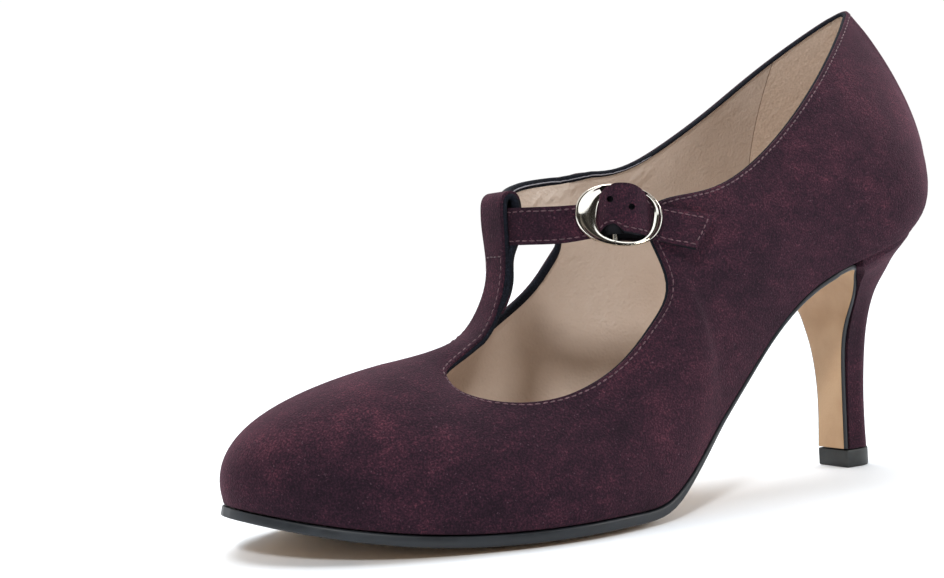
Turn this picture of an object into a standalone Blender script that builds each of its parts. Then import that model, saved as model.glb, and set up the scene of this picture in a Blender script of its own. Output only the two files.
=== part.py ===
# Strap pump, left shoe: covered high heel, rounded toe, T-bar with an instep strap and an oval buckle.
# +X runs to the toe, +Y to the outer (left) side of the foot, +Z up; the shoe stands on z = 0.
import math

import bmesh
import bpy
import numpy as np
from mathutils import Matrix

for old in list(bpy.data.objects):
    bpy.data.objects.remove(old, do_unlink=True)

# Driving sizes in millimetres. The tables below are drawn for a 223 mm long shoe and graded up to size.
GRADE = 1.04
UNIT = GRADE / 1000.0
GAP = 0.3
WALL = 1.8
STRIP_PROUD = 0.7
STRIP_HALF = 7.0
SOLE_FORE = 3.0
SOLE_WAIST = 1.4
SOLE_PROUD = 0.4
INSOLE = 2.0
LIFT = 5.2
STRAP = 2.0
STRAP_SLANT = 7.5
CHAPE = 1.0
CHAPE_HALF = 3.4
CHAPE_DROP = -0.9

# Heights of the feather line, where the upper meets the sole and the heel, at the outer and inner side.
PROFILE = np.array([
    # x, outer z, inner z
    (8.0, 74.2, 74.2),
    (18.0, 70.6, 70.6),
    (32.0, 65.8, 65.8),
    (50.0, 60.4, 60.8),
    (62.0, 56.0, 57.8),
    (76.0, 47.0, 50.6),
    (91.0, 33.4, 38.2),
    (106.0, 20.8, 26.2),
    (118.0, 11.2, 16.2),
    (128.0, 6.0, 9.8),
    (140.0, 3.7, 5.2),
    (155.0, 3.2, 3.3),
    (172.0, 3.5, 3.5),
    (186.0, 4.9, 4.8),
    (200.0, 6.8, 6.7),
    (214.0, 9.9, 9.8),
    (228.0, 13.8, 13.8),
])

# Sections of the upper around the foot, from the back of the heel along the outer side to the toe and back.
# fx, fy: feather point; ex, ey, ez: point on the edge of the opening;
# o1, h1: how far out and up the wall leaves the feather;
# o2, h2, b2: how far out, down and back it leaves the edge.
SECTIONS = np.array([
    (12.7, 0.0, 28.0, 0.0, 135.0, 18.0, 12.0, 21.0, 25.0, 0.0),
    (18.1, 14.3, 35.5, 8.5, 128.5, 14.5, 12.0, 17.5, 25.0, 0.0),
    (29.3, 22.7, 48.5, 16.5, 117.5, 7.2, 14.0, 10.6, 22.0, 0.0),
    (46.0, 24.5, 64.0, 21.8, 106.0, 4.8, 16.0, 7.0, 18.0, 0.0),
    (64.0, 23.9, 84.0, 25.3, 91.0, 4.3, 16.0, 5.5, 15.0, 0.0),
    (80.0, 23.9, 103.0, 27.2, 81.0, 3.8, 17.0, 4.0, 13.0, 3.0),
    (92.9, 25.5, 115.5, 26.9, 77.0, 3.8, 18.0, 3.0, 11.0, 6.0),
    (100.9, 27.3, 120.6, 26.0, 71.0, 3.8, 18.0, 3.0, 9.0, 9.0),
    (109.9, 29.9, 120.2, 28.4, 59.5, 3.8, 15.0, 3.0, 8.0, 10.0),
    (120.9, 33.5, 125.0, 30.3, 50.0, 3.8, 13.0, 3.5, 9.0, 6.0),
    (136.9, 38.2, 137.0, 31.8, 39.8, 3.3, 10.0, 4.0, 9.0, 2.0),
    (154.0, 40.4, 152.0, 32.0, 33.8, 3.3, 9.0, 4.4, 8.0, 0.0),
    (170.1, 38.7, 164.5, 29.6, 32.7, 3.3, 10.0, 6.4, 6.0, 0.0),
    (188.2, 33.9, 172.5, 22.5, 34.3, 3.3, 12.0, 10.4, 5.0, 0.0),
    (204.4, 27.2, 175.2, 13.5, 37.6, 3.9, 14.0, 18.4, 3.0, 0.0),
    (213.6, 20.7, 174.6, 9.0, 39.8, 4.4, 15.5, 24.4, 3.0, 0.0),
    (221.3, 11.9, 173.0, 5.0, 41.6, 4.9, 16.5, 30.4, 3.6, 0.0),
    (226.9, -3.5, 172.0, 0.0, 42.3, 5.4, 16.5, 34.4, 4.8, 0.0),
    (221.8, -16.5, 171.0, -4.5, 41.8, 4.9, 15.0, 29.4, 4.6, 0.0),
    (213.6, -24.9, 170.0, -8.5, 40.6, 4.4, 12.5, 22.4, 4.8, 0.0),
    (202.4, -31.8, 166.5, -14.5, 39.4, 3.9, 11.5, 14.4, 5.0, 0.0),
    (186.1, -37.1, 158.5, -22.0, 40.3, 3.3, 11.0, 8.4, 7.0, 0.0),
    (168.0, -39.7, 147.5, -27.0, 44.5, 3.3, 12.0, 5.4, 9.0, 0.0),
    (148.9, -38.1, 136.0, -28.9, 50.7, 3.3, 13.0, 4.0, 10.0, 3.0),
    (130.8, -32.7, 125.4, -28.0, 59.0, 3.3, 14.0, 3.5, 9.0, 6.0),
    (115.8, -26.7, 117.6, -26.2, 66.5, 3.3, 16.0, 3.0, 8.0, 9.0),
    (103.8, -21.9, 115.8, -24.9, 74.0, 3.8, 18.0, 3.0, 8.0, 10.0),
    (95.9, -19.4, 115.6, -24.3, 80.8, 3.8, 18.0, 3.0, 8.0, 10.0),
    (88.0, -18.3, 114.4, -24.1, 87.4, 3.8, 18.0, 3.0, 11.0, 8.0),
    (77.0, -18.7, 101.0, -24.0, 89.4, 3.8, 18.0, 4.0, 14.0, 3.0),
    (63.1, -20.7, 80.0, -23.8, 96.4, 4.3, 17.0, 5.0, 17.0, 0.0),
    (46.0, -24.1, 61.0, -22.3, 107.6, 5.3, 16.0, 7.0, 19.0, 0.0),
    (29.3, -22.7, 45.5, -18.0, 118.8, 7.2, 14.0, 10.6, 22.0, 0.0),
    (18.1, -14.3, 33.5, -9.0, 129.8, 14.5, 12.0, 17.5, 25.0, 0.0),
])
THROAT_OUTER = 15
THROAT_INNER = 19

# Spine of the T-bar, from the throat up the front leg, over the fold and down the back leg.
TBAR = np.array([
    # x, z, half width
    (166.0, 45.7, 7.8),
    (160.2, 49.6, 6.3),
    (155.8, 55.4, 5.4),
    (153.4, 62.2, 5.0),
    (153.1, 68.0, 5.1),
    (153.4, 74.0, 5.3),
    (153.4, 79.6, 5.3),
    (152.2, 82.4, 5.3),
    (149.2, 83.5, 5.3),
    (146.0, 82.4, 5.3),
    (144.6, 79.6, 5.3),
    (144.5, 75.0, 5.3),
    (144.7, 71.5, 5.3),
])

# Centre line of the instep strap, from the inner quarter through the loop to the free tab.
STRAP_PATH = np.array([
    # x, y, centre z, half height
    (116.3, -23.4, 81.8, 5.6),
    (124.0, -22.8, 81.6, 5.2),
    (131.2, -20.4, 80.6, 5.0),
    (138.6, -15.3, 79.0, 4.8),
    (145.0, -9.4, 77.0, 4.75),
    (148.4, -4.5, 75.6, 4.75),
    (149.0, 0.0, 75.0, 4.75),
    (148.4, 4.5, 74.7, 4.75),
    (145.8, 9.7, 74.5, 4.75),
    (141.0, 14.2, 74.4, 4.7),
    (135.2, 18.6, 74.9, 4.4),
    (128.5, 23.6, 75.3, 4.1),
    (121.5, 28.2, 74.3, 4.45),
    (114.0, 30.8, 72.6, 4.75),
    (106.5, 32.0, 71.2, 4.75),
])

# Buckle: centre, heading of its long axis, and how the strap rises over the bar (along, out).
BUCKLE_AT = np.array((128.9, 23.3, 75.6))
BUCKLE_ALONG = np.array((-0.825, 0.565, 0.0))
BUCKLE_OUT = np.array((0.565, 0.825, 0.0))
BUCKLE_LONG = 10.9
BUCKLE_HIGH = 7.7
BUCKLE_HOLE_LONG = 7.6
BUCKLE_HOLE_HIGH = 6.3
BUCKLE_HOLE_SHIFT = 2.3
BUCKLE_LOW = 0.6
BUCKLE_TOP = 2.6
BAR_RADIUS = 0.7
BAR_ALONG = 1.4
BAR_OUT = 1.3
STRAP_UNDER = -0.8
STRAP_OVER = 4.3

# Heel, from the seat down to the top lift: heights and x of its back and front, and half width.
HEEL = np.array([
    # back z, front z, back x, front x, half width
    (71.5, 59.4, 12.0, 48.0, 23.6),
    (67.5, 57.2, 14.4, 46.2, 20.4),
    (61.5, 52.8, 19.6, 42.9, 14.4),
    (54.5, 47.0, 23.6, 40.8, 10.3),
    (47.0, 40.6, 25.2, 39.5, 8.3),
    (36.0, 31.5, 26.2, 38.4, 6.9),
    (20.0, 18.5, 27.0, 37.4, 6.1),
    (5.5, 5.5, 27.3, 37.2, 5.8),
])

# Breast flap of the sole, continuing the shank line over the arch and down the front of the heel.
FLAP = np.array([
    # x, z, half width, thickness
    (56.0, 58.2, 22.6, 1.4),
    (52.6, 59.35, 22.2, 1.4),
    (50.2, 59.6, 21.6, 1.5),
    (48.3, 58.9, 20.6, 1.6),
    (46.6, 57.0, 18.9, 1.6),
    (43.2, 52.0, 13.4, 1.5),
    (41.0, 46.0, 9.7, 1.5),
    (39.85, 40.0, 8.0, 1.5),
    (38.65, 31.0, 6.8, 1.5),
    (37.75, 18.5, 6.0, 1.5),
    (37.5, 5.6, 5.7, 1.5),
])


# Smooth curve through a table of points; closed tables repeat their first row at the end.
def spline(knots, values, at, closed=False):
    t = np.asarray(knots, float)
    v = np.asarray(values, float)
    if v.ndim == 1:
        v = v[:, None]
    n = len(t)
    h = np.diff(t)[:, None]
    d = np.diff(v, axis=0) / h
    a = np.zeros((n, n))
    b = np.zeros_like(v)
    for i in range(1, n - 1):
        a[i, i - 1] = 1.0 / h[i - 1, 0]
        a[i, i] = 2.0 / h[i - 1, 0] + 2.0 / h[i, 0]
        a[i, i + 1] = 1.0 / h[i, 0]
        b[i] = 3.0 * (d[i - 1] / h[i - 1] + d[i] / h[i])
    if closed:
        a[0, 0] = 2.0 / h[0, 0] + 2.0 / h[-1, 0]
        a[0, 1] = 1.0 / h[0, 0]
        a[0, n - 2] = 1.0 / h[-1, 0]
        b[0] = 3.0 * (d[0] / h[0] + d[-1] / h[-1])
        a[n - 1, n - 1] = 1.0
        a[n - 1, 0] = -1.0
    else:
        a[0, 0] = 2.0
        a[0, 1] = 1.0
        b[0] = 3.0 * d[0]
        a[n - 1, n - 1] = 2.0
        a[n - 1, n - 2] = 1.0
        b[n - 1] = 3.0 * d[-1]
    m = np.linalg.solve(a, b)
    at = np.atleast_1d(np.asarray(at, float))
    i = np.clip(np.searchsorted(t, at, side="right") - 1, 0, n - 2)
    w = h[i]
    s = ((at - t[i])[:, None]) / w
    first = (1 + 2 * s) * (1 - s) ** 2 * v[i] + s * (1 - s) ** 2 * w * m[i]
    return first + s * s * (3 - 2 * s) * v[i + 1] - s * s * (1 - s) * w * m[i + 1]


# Knots spaced by the chords of a table.
def chords(points):
    steps = np.linalg.norm(np.diff(np.asarray(points, float), axis=0), axis=1)
    return np.concatenate(([0.0], np.cumsum(steps)))


def feather_height(x, y):
    both = spline(PROFILE[:, 0], PROFILE[:, 1:], x)
    side = np.clip(0.5 + np.asarray(y) / 36.0, 0.0, 1.0)
    return both[:, 1] + (both[:, 0] - both[:, 1]) * side


RING = np.vstack((SECTIONS, SECTIONS[:1]))
RING_KNOTS = 0.5 * chords(RING[:, :2]) + 0.5 * chords(RING[:, 2:5])
ROUND = RING_KNOTS[-1]


# Outer surface of the upper at u around the foot (in RING_KNOTS) and v from the feather to the edge.
def upper_surface(u, v):
    u = np.mod(np.asarray(u, float), ROUND)
    row = spline(RING_KNOTS, RING, u, closed=True)
    ahead = spline(RING_KNOTS, RING[:, :2], np.mod(u + 0.5, ROUND), closed=True)
    behind = spline(RING_KNOTS, RING[:, :2], np.mod(u - 0.5, ROUND), closed=True)
    run = ahead - behind
    run /= np.linalg.norm(run, axis=1)[:, None]
    out = np.stack((-run[:, 1], run[:, 0], np.zeros(len(u))), axis=1)
    up = np.array((0.0, 0.0, 1.0))
    low = np.column_stack((row[:, 0], row[:, 1], feather_height(row[:, 0], row[:, 1])))
    high = row[:, 2:5]
    p1 = low + out * row[:, 5:6] + up * row[:, 6:7]
    p2 = high + out * row[:, 7:8] - up * row[:, 8:9]
    p2[:, 0] -= row[:, 9]
    v = np.asarray(v, float)[:, None, None]
    point = (1 - v) ** 3 * low + 3 * v * (1 - v) ** 2 * p1 + 3 * v * v * (1 - v) * p2 + v ** 3 * high
    return point, out


def make_mesh(name, points, faces, colour, rough, metal=0.0):
    mesh = bpy.data.meshes.new(name)
    mesh.from_pydata([tuple(p) for p in np.asarray(points) * UNIT], [], faces)
    mesh.update()
    obj = bpy.data.objects.new(name, mesh)
    bpy.context.scene.collection.objects.link(obj)
    material = bpy.data.materials.new(name)
    material.use_nodes = True
    shader = material.node_tree.nodes["Principled BSDF"]
    shader.inputs["Base Color"].default_value = (*colour, 1.0)
    shader.inputs["Roughness"].default_value = rough
    shader.inputs["Metallic"].default_value = metal
    mesh.materials.append(material)
    return obj


def face_out(obj):
    work = bmesh.new()
    work.from_mesh(obj.data)
    bmesh.ops.recalc_face_normals(work, faces=work.faces)
    work.to_mesh(obj.data)
    work.free()
    for face in obj.data.polygons:
        face.use_smooth = True


# Closed slab between two grids of the same shape (rows, columns, 3).
def slab(name, top, bottom, colour, rough):
    rows, cols = top.shape[:2]
    points = np.vstack((top.reshape(-1, 3), bottom.reshape(-1, 3)))
    under = rows * cols
    faces = []
    for i in range(rows - 1):
        for j in range(cols - 1):
            a = i * cols + j
            faces.append((a, a + 1, a + cols + 1, a + cols))
            faces.append((under + a, under + a + cols, under + a + cols + 1, under + a + 1))
    rim = [(i, 0) for i in range(rows)] + [(rows - 1, j) for j in range(1, cols)]
    rim += [(i, cols - 1) for i in range(rows - 2, -1, -1)] + [(0, j) for j in range(cols - 2, 0, -1)]
    for (i, j), (k, l) in zip(rim, rim[1:] + rim[:1]):
        a = i * cols + j
        b = k * cols + l
        faces.append((a, b, under + b, under + a))
    obj = make_mesh(name, points, faces, colour, rough)
    face_out(obj)
    return obj


# Closed solid from stacked rings (rows, around, 3), with flat ends.
def stack(name, rings, colour, rough):
    rows, around = rings.shape[:2]
    faces = []
    for i in range(rows - 1):
        for j in range(around):
            k = (j + 1) % around
            faces.append((i * around + j, i * around + k, (i + 1) * around + k, (i + 1) * around + j))
    faces.append(tuple(range(around)))
    faces.append(tuple((rows - 1) * around + j for j in range(around)))
    obj = make_mesh(name, rings.reshape(-1, 3), faces, colour, rough)
    face_out(obj)
    return obj


# Upper: vamp, quarters and T-bar in one sheet, then thickened inwards.
# The columns bunch at the two edges of the back strip, which stands proud of the wall there.
STRIP_EDGE = STRIP_HALF + 0.25
START = RING_KNOTS[THROAT_OUTER]
END = RING_KNOTS[THROAT_INNER]
around = np.concatenate((
    np.linspace(0.0, STRIP_HALF, 4),
    np.linspace(STRIP_EDGE, START, 36),
    np.linspace(START, END, 11)[1:],
    np.linspace(END, ROUND - STRIP_EDGE, 36)[1:],
    np.linspace(ROUND - STRIP_HALF, ROUND, 4)[:-1],
))
levels = np.linspace(0.0, 1.0, 11)
grid, outward = upper_surface(around, levels)
on_strip = (around < STRIP_HALF + 0.1) | (around > ROUND - STRIP_HALF - 0.1)
fade = np.interp(levels, (0.0, 0.93, 1.0), (1.0, 1.0, 0.6))
grid = grid + outward[None] * (on_strip * STRIP_PROUD)[None, :, None] * fade[:, None, None]
cols = len(around)
points = [grid.reshape(-1, 3)]
faces = []
for i in range(len(levels) - 1):
    for j in range(cols):
        k = (j + 1) % cols
        faces.append((i * cols + j, (i + 1) * cols + j, (i + 1) * cols + k, i * cols + k))

throat = [j for j in range(cols) if START - 1e-6 <= around[j] <= END + 1e-6]
last = [(len(levels) - 1) * cols + j for j in throat]
base = grid[-1][throat]
across = np.linspace(1.0, -1.0, len(throat))
spine_knots = chords(np.vstack(((172.4, 42.2), TBAR[:, :2])))
spine_rows = np.vstack(((172.4, 42.2, 8.75), TBAR))
along = np.concatenate((np.linspace(0.0, spine_knots[8], 13)[1:], spine_knots[9:]))
spine = spline(spine_knots, spine_rows, along)
count = len(levels) * cols
for s, (x, z, half) in zip(along, spine):
    ease = max(0.0, 1.0 - s / 20.0) ** 2
    row = np.column_stack((np.full(len(across), x), half * across, np.full(len(across), z)))
    row[:, 0] -= 0.5 * across ** 2
    lean = (base - base.mean(axis=0)) * np.array((1.0, 0.0, 1.0))
    row += lean * ease
    points.append(row)
    here = [count + j for j in range(len(across))]
    for a, b, c, d in zip(last, last[1:], here[1:], here):
        faces.append((a, d, c, b))
    last = here
    count += len(across)
upper = make_mesh("upper", np.vstack(points), faces, (0.055, 0.022, 0.033), 0.9)
thick = upper.modifiers.new("wall", "SOLIDIFY")
thick.thickness = WALL * UNIT
thick.offset = -1.0
thick.use_even_offset = True
thick.use_quality_normals = True
for face in upper.data.polygons:
    face.use_smooth = True

# Plan of the feather line, split into the outer and inner side, as functions of x.
ring_u = np.linspace(0.0, ROUND, 721)[:-1]
ring_xy = spline(RING_KNOTS, RING[:, :2], ring_u, closed=True)
tip = int(np.argmax(ring_xy[:, 0]))
heel_back = int(np.argmin(ring_xy[:, 0]))
outer_side = ring_xy[heel_back:tip + 1]
inner_side = np.vstack((ring_xy[tip:], ring_xy[:heel_back + 1]))[::-1]


def side_y(side, x):
    order = np.argsort(side[:, 0])
    return np.interp(x, side[order, 0], side[order, 1])


# Outsole: forefoot, shank and breast flap in one strip, stations running from the toe back.
tip_x = ring_xy[tip, 0]
fore = tip_x - 0.1 - (tip_x - 58.0) * (1 - np.cos(np.linspace(0.0, math.pi / 2, 46))) ** 1.15
station = [(x, None) for x in fore]
weights = np.linspace(1.0, -1.0, 9)
tops = []
for x in fore:
    yo = float(side_y(outer_side, x))
    yi = float(side_y(inner_side, x))
    proud = SOLE_PROUD * float(np.interp(x, (70.0, 110.0), (0.0, 1.0)))
    yo += proud
    yi -= proud
    y = 0.5 * (yo + yi) + 0.5 * (yo - yi) * weights
    z = feather_height(np.full(len(y), x), y) - GAP
    tops.append(np.column_stack((np.full(len(y), x + 0.3 * proud * (x > 215)), y, z)))
thickness = [float(np.interp(x, (80.0, 126.0), (SOLE_WAIST, SOLE_FORE))) for x in fore]
flap_at = np.linspace(0.0, 1.0, 22)
flap = spline(chords(FLAP[:, :2]) / chords(FLAP[:, :2])[-1], FLAP, flap_at)
for x, z, half, thick_here in flap:
    tops.append(np.column_stack((np.full(9, x), half * weights, np.full(9, z))))
    thickness.append(thick_here)
tops = np.array(tops)
run = np.gradient(tops[:, :, [0, 2]], axis=0)
run /= np.linalg.norm(run, axis=2)[:, :, None]
under = tops.copy()
under[:, :, 0] += -run[:, :, 1] * np.array(thickness)[:, None]
under[:, :, 2] += run[:, :, 0] * np.array(thickness)[:, None]
flat = under[:, :, 0] > 128.0
under[:, :, 2] = np.where(flat, np.maximum(under[:, :, 2], 0.0), under[:, :, 2])
slab("outsole", tops, under, (0.42, 0.29, 0.18), 0.5)

# Insole, inside the wall and just above the sole and the heel seat.
inset = WALL + 2.0 * GAP + 0.5
ins_x = 14.5 + (tip_x - inset - 0.8 - 14.5) * 0.5 * (1 - np.cos(np.linspace(0.0, math.pi, 44)))
ins_top = []
ins_low = []
for x in ins_x:
    slope_o = float(side_y(outer_side, x + 0.5) - side_y(outer_side, x - 0.5))
    slope_i = float(side_y(inner_side, x + 0.5) - side_y(inner_side, x - 0.5))
    yo = float(side_y(outer_side, x)) - inset * math.hypot(1.0, slope_o)
    yi = float(side_y(inner_side, x)) + inset * math.hypot(1.0, slope_i)
    if yo - yi < 3.0:
        middle = 0.5 * (yo + yi)
        yo = middle + 1.5
        yi = middle - 1.5
    y = 0.5 * (yo + yi) + 0.5 * (yo - yi) * np.linspace(1.0, -1.0, 7)
    z = feather_height(np.full(7, x), y) + GAP
    ins_low.append(np.column_stack((np.full(7, x), y, z)))
ins_low = np.array(ins_low)
ins_run = np.gradient(ins_low[:, :, [0, 2]], axis=0)
ins_run /= np.linalg.norm(ins_run, axis=2)[:, :, None]
ins_top = ins_low.copy()
ins_top[:, :, 0] -= ins_run[:, :, 1] * INSOLE
ins_top[:, :, 2] += ins_run[:, :, 0] * INSOLE
slab("insole", ins_top, ins_low, (0.36, 0.28, 0.21), 0.6)


# Plan of a heel section: straight breast, parallel sides, rounded back.
def heel_plan(back, front, half, count):
    middle = back + 0.62 * (front - back)
    turn = np.linspace(-math.pi / 2, math.pi / 2, count)
    x = middle - (middle - back) * np.cos(turn)
    y = half * np.sin(turn)
    mids = np.linspace(middle, front, 5)[1:]
    widths = np.linspace(half, -half, 7)[1:-1]
    x = np.concatenate((x, mids, np.full(5, front), mids[::-1]))
    y = np.concatenate((y, np.full(4, half), widths, np.full(4, -half)))
    return x, y


heel_rows = spline(np.linspace(0.0, 1.0, len(HEEL)), HEEL, np.linspace(0.0, 1.0, 19))
rings = []
for zb, zf, back, front, half in heel_rows:
    x, y = heel_plan(back, front, half, 21)
    z = zb + (zf - zb) * (x - back) / (front - back)
    rings.append(np.column_stack((x, y, z)))
rings = np.array(rings)
seat = feather_height(rings[0][:, 0], rings[0][:, 1]) - GAP
rings[0][:, 2] = seat
rings[1][:, 2] = np.minimum(rings[1][:, 2], seat - 1.0)
stack("heel", rings, (0.055, 0.022, 0.033), 0.9)

# Top lift under the heel.
x, y = heel_plan(HEEL[-1, 2] - 0.1, HEEL[-1, 3] + 2.1, HEEL[-1, 4] + 0.1, 21)
low = np.column_stack((x, y, np.zeros(len(x))))
high = np.column_stack((x, y, np.full(len(x), LIFT)))
stack("top_lift", np.array((low, high)), (0.03, 0.033, 0.035), 0.55)

# Instep strap: a flat band that follows its centre line, rises over the buckle's bar and ends on the slant.
strap_knots = chords(STRAP_PATH[:, :2])
heights = np.linspace(1.0, -1.0, 4)
stations = 21 + 40 + 9
front_face = np.zeros((stations, 4, 3))
back_face = np.zeros((stations, 4, 3))
buckle_from = strap_knots[10] - 4.0
buckle_to = strap_knots[12] + 4.0
for j, w in enumerate(heights):
    strap_end = strap_knots[-1] - STRAP_SLANT * (1.0 - w) / 2
    strap_at = np.concatenate((
        np.linspace(0.0, buckle_from, 21, endpoint=False),
        np.linspace(buckle_from, buckle_to, 40, endpoint=False),
        np.linspace(buckle_to, strap_end, 9),
    ))
    band = spline(strap_knots, STRAP_PATH, strap_at)
    band_run = np.gradient(band[:, :2], strap_at, axis=0)
    band_run /= np.linalg.norm(band_run, axis=1)[:, None]
    band_out = np.column_stack((band_run[:, 1], -band_run[:, 0]))
    beside = (band[:, :2] - BUCKLE_AT[:2]) @ BUCKLE_ALONG[:2]
    lift = np.interp(
        beside,
        (-15.0, -11.4, -3.0, -1.0, 4.2, 6.4, 11.4, 15.0),
        (0.0, STRAP_UNDER, STRAP_UNDER, STRAP_OVER, STRAP_OVER, STRAP_UNDER, STRAP_UNDER, 0.0),
    )
    lift = np.convolve(np.pad(lift, 1, mode="edge"), (0.25, 0.5, 0.25), mode="valid")
    centre = band[:, :2] + band_out * lift[:, None]
    centre_run = np.gradient(centre, strap_at, axis=0)
    centre_run /= np.linalg.norm(centre_run, axis=1)[:, None]
    centre_out = np.column_stack((centre_run[:, 1], -centre_run[:, 0]))
    back_face[:, j, :2] = centre - centre_out * STRAP / 2
    front_face[:, j, :2] = centre + centre_out * STRAP / 2
    front_face[:, j, 2] = band[:, 2] + band[:, 3] * w
    back_face[:, j, 2] = front_face[:, j, 2]
slab("strap", front_face, back_face, (0.055, 0.022, 0.033), 0.9)


def buckle_point(s, n, h):
    return BUCKLE_AT + BUCKLE_ALONG * s + BUCKLE_OUT * n + np.array((0.0, 0.0, h))


# Buckle: a domed oval ring, broad at its front end, with an upright bar across the hole.
ring = []
for turn in np.linspace(0.0, 2 * math.pi, 49)[:-1]:
    c = math.cos(turn)
    s = math.sin(turn)
    oc = math.copysign(abs(c) ** 0.9, c)
    os = math.copysign(abs(s) ** 0.9, s)
    outer = np.array((BUCKLE_LONG * oc, BUCKLE_HIGH * os))
    ic = math.copysign(abs(c) ** 0.78, c)
    si = math.copysign(abs(s) ** 0.78, s)
    inner = np.array((BUCKLE_HOLE_SHIFT + BUCKLE_HOLE_LONG * ic, BUCKLE_HOLE_HIGH * si))
    rim = []
    for w, n in ((0.0, 0.0), (0.0, 0.45), (0.2, 0.85), (0.5, 1.0), (0.8, 0.85), (1.0, 0.45), (1.0, 0.0)):
        at = outer + (inner - outer) * w
        rim.append(buckle_point(at[0], BUCKLE_LOW + (BUCKLE_TOP - BUCKLE_LOW) * n, at[1]))
    ring.append(rim)
ring = np.array(ring)
faces = []
rows, cols = ring.shape[:2]
for i in range(rows):
    for j in range(cols):
        a = i * cols + j
        b = i * cols + (j + 1) % cols
        c = ((i + 1) % rows) * cols + (j + 1) % cols
        d = ((i + 1) % rows) * cols + j
        faces.append((a, b, c, d))
buckle = make_mesh("buckle", ring.reshape(-1, 3), faces, (0.75, 0.73, 0.70), 0.12, 1.0)
face_out(buckle)
reach = BUCKLE_HOLE_HIGH + 0.6
bar_rings = []
for h in (-reach, reach):
    bar_rings.append([
        buckle_point(BAR_ALONG + BAR_RADIUS * math.cos(a), BAR_OUT + BAR_RADIUS * math.sin(a), h)
        for a in np.linspace(0.0, 2 * math.pi, 13)[:-1]
    ])
bar = stack("buckle_bar_form", np.array(bar_rings), (0.75, 0.73, 0.70), 0.12)
bar.hide_render = True
bar.display_type = "WIRE"
join = buckle.modifiers.new("bar", "BOOLEAN")
join.operation = "UNION"
join.solver = "EXACT"
join.object = bar

# Chape: elastic band from the edge of the outer quarter that hooks round the buckle's bar.
hook = [(7.9, -2.9), (6.6, -2.9), (5.2, -2.6), (4.0, -1.4), (3.2, 0.0)]
reach = BAR_RADIUS + GAP + CHAPE / 2
for a in np.radians((0.0, 35.0, 70.0, 105.0, 140.0, 175.0, 210.0, 240.0)):
    hook.append((BAR_ALONG + reach * math.cos(a), BAR_OUT + reach * math.sin(a)))
hook = np.array(hook)
hook = spline(chords(hook), hook, np.linspace(0.0, chords(hook)[-1], 25))
hook_run = np.gradient(hook, axis=0)
hook_run /= np.linalg.norm(hook_run, axis=1)[:, None]
hook_out = np.column_stack((hook_run[:, 1], -hook_run[:, 0]))
sides = []
for sign in (0.5, -0.5):
    face = []
    for at in hook + hook_out * CHAPE * sign:
        face.append([buckle_point(at[0], at[1], CHAPE_DROP + h) for h in (CHAPE_HALF, -CHAPE_HALF)])
    sides.append(np.array(face))
slab("chape", sides[0], sides[1], (0.012, 0.012, 0.016), 0.8)

# Stand the shoe on z = 0 with the middle of its footprint at the origin.
bpy.context.view_layer.update()
graph = bpy.context.evaluated_depsgraph_get()
low = np.full(3, np.inf)
high = np.full(3, -np.inf)
for obj in bpy.context.scene.objects:
    if obj.hide_render:
        continue
    solid = obj.evaluated_get(graph)
    mesh = solid.to_mesh()
    corners = np.empty(len(mesh.vertices) * 3)
    mesh.vertices.foreach_get("co", corners)
    corners = corners.reshape(-1, 3)
    low = np.minimum(low, corners.min(axis=0))
    high = np.maximum(high, corners.max(axis=0))
    solid.to_mesh_clear()
shift = Matrix.Translation((-(low[0] + high[0]) / 2, -(low[1] + high[1]) / 2, -low[2]))
for obj in bpy.context.scene.objects:
    obj.data.transform(shift)
    obj.data.update()
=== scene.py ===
import math

import bmesh
import bpy
import numpy as np
from mathutils import Matrix, Vector
from mathutils.bvhtree import BVHTree


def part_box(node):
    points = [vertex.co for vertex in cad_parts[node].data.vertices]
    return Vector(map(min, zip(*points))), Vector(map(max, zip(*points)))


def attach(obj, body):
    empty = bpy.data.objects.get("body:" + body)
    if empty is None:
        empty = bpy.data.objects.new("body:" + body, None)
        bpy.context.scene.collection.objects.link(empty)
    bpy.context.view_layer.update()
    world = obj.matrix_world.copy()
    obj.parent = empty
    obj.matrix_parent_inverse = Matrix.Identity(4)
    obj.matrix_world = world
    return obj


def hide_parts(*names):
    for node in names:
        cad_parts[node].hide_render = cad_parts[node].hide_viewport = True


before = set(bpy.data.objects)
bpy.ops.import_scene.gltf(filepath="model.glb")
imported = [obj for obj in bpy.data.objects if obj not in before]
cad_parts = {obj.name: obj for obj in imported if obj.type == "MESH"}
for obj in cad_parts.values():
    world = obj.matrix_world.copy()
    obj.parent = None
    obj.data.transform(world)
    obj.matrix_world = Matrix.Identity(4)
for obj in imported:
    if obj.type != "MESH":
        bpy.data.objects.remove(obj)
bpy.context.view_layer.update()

# Insole: the leather sock the foot rests on, cut to the plan of the last and cemented over the insole board.
# The last's sections are drawn in millimetres of a sample size, with x from the heel to the toe, y to the
# outer side and z up, and graded to this size; the top lift on the floor fixes where it lies.
GRADE = 1.04
LIFT_BACK = 27.2
lift_low, lift_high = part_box("top_lift")
LAST_X = lift_low[0] - LIFT_BACK * GRADE * 0.001
LAST_Y = 0.5 * (lift_low[1] + lift_high[1])
JOINT_GAP = 0.3
WALL = 1.8

FEATHER_LINE = np.array([
    # x, height at the outer side, height at the inner side
    (8.0, 74.2, 74.2),
    (18.0, 70.6, 70.6),
    (32.0, 65.8, 65.8),
    (50.0, 60.4, 60.8),
    (62.0, 56.0, 57.8),
    (76.0, 47.0, 50.6),
    (91.0, 33.4, 38.2),
    (106.0, 20.6, 26.2),
    (118.0, 10.6, 16.2),
    (128.0, 5.2, 9.8),
    (140.0, 4.3, 5.2),
    (155.0, 4.25, 3.4),
    (172.0, 4.3, 3.6),
    (186.0, 5.0, 4.9),
    (200.0, 6.7, 6.5),
    (214.0, 9.3, 9.2),
    (228.0, 12.7, 12.7),
])

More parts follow.
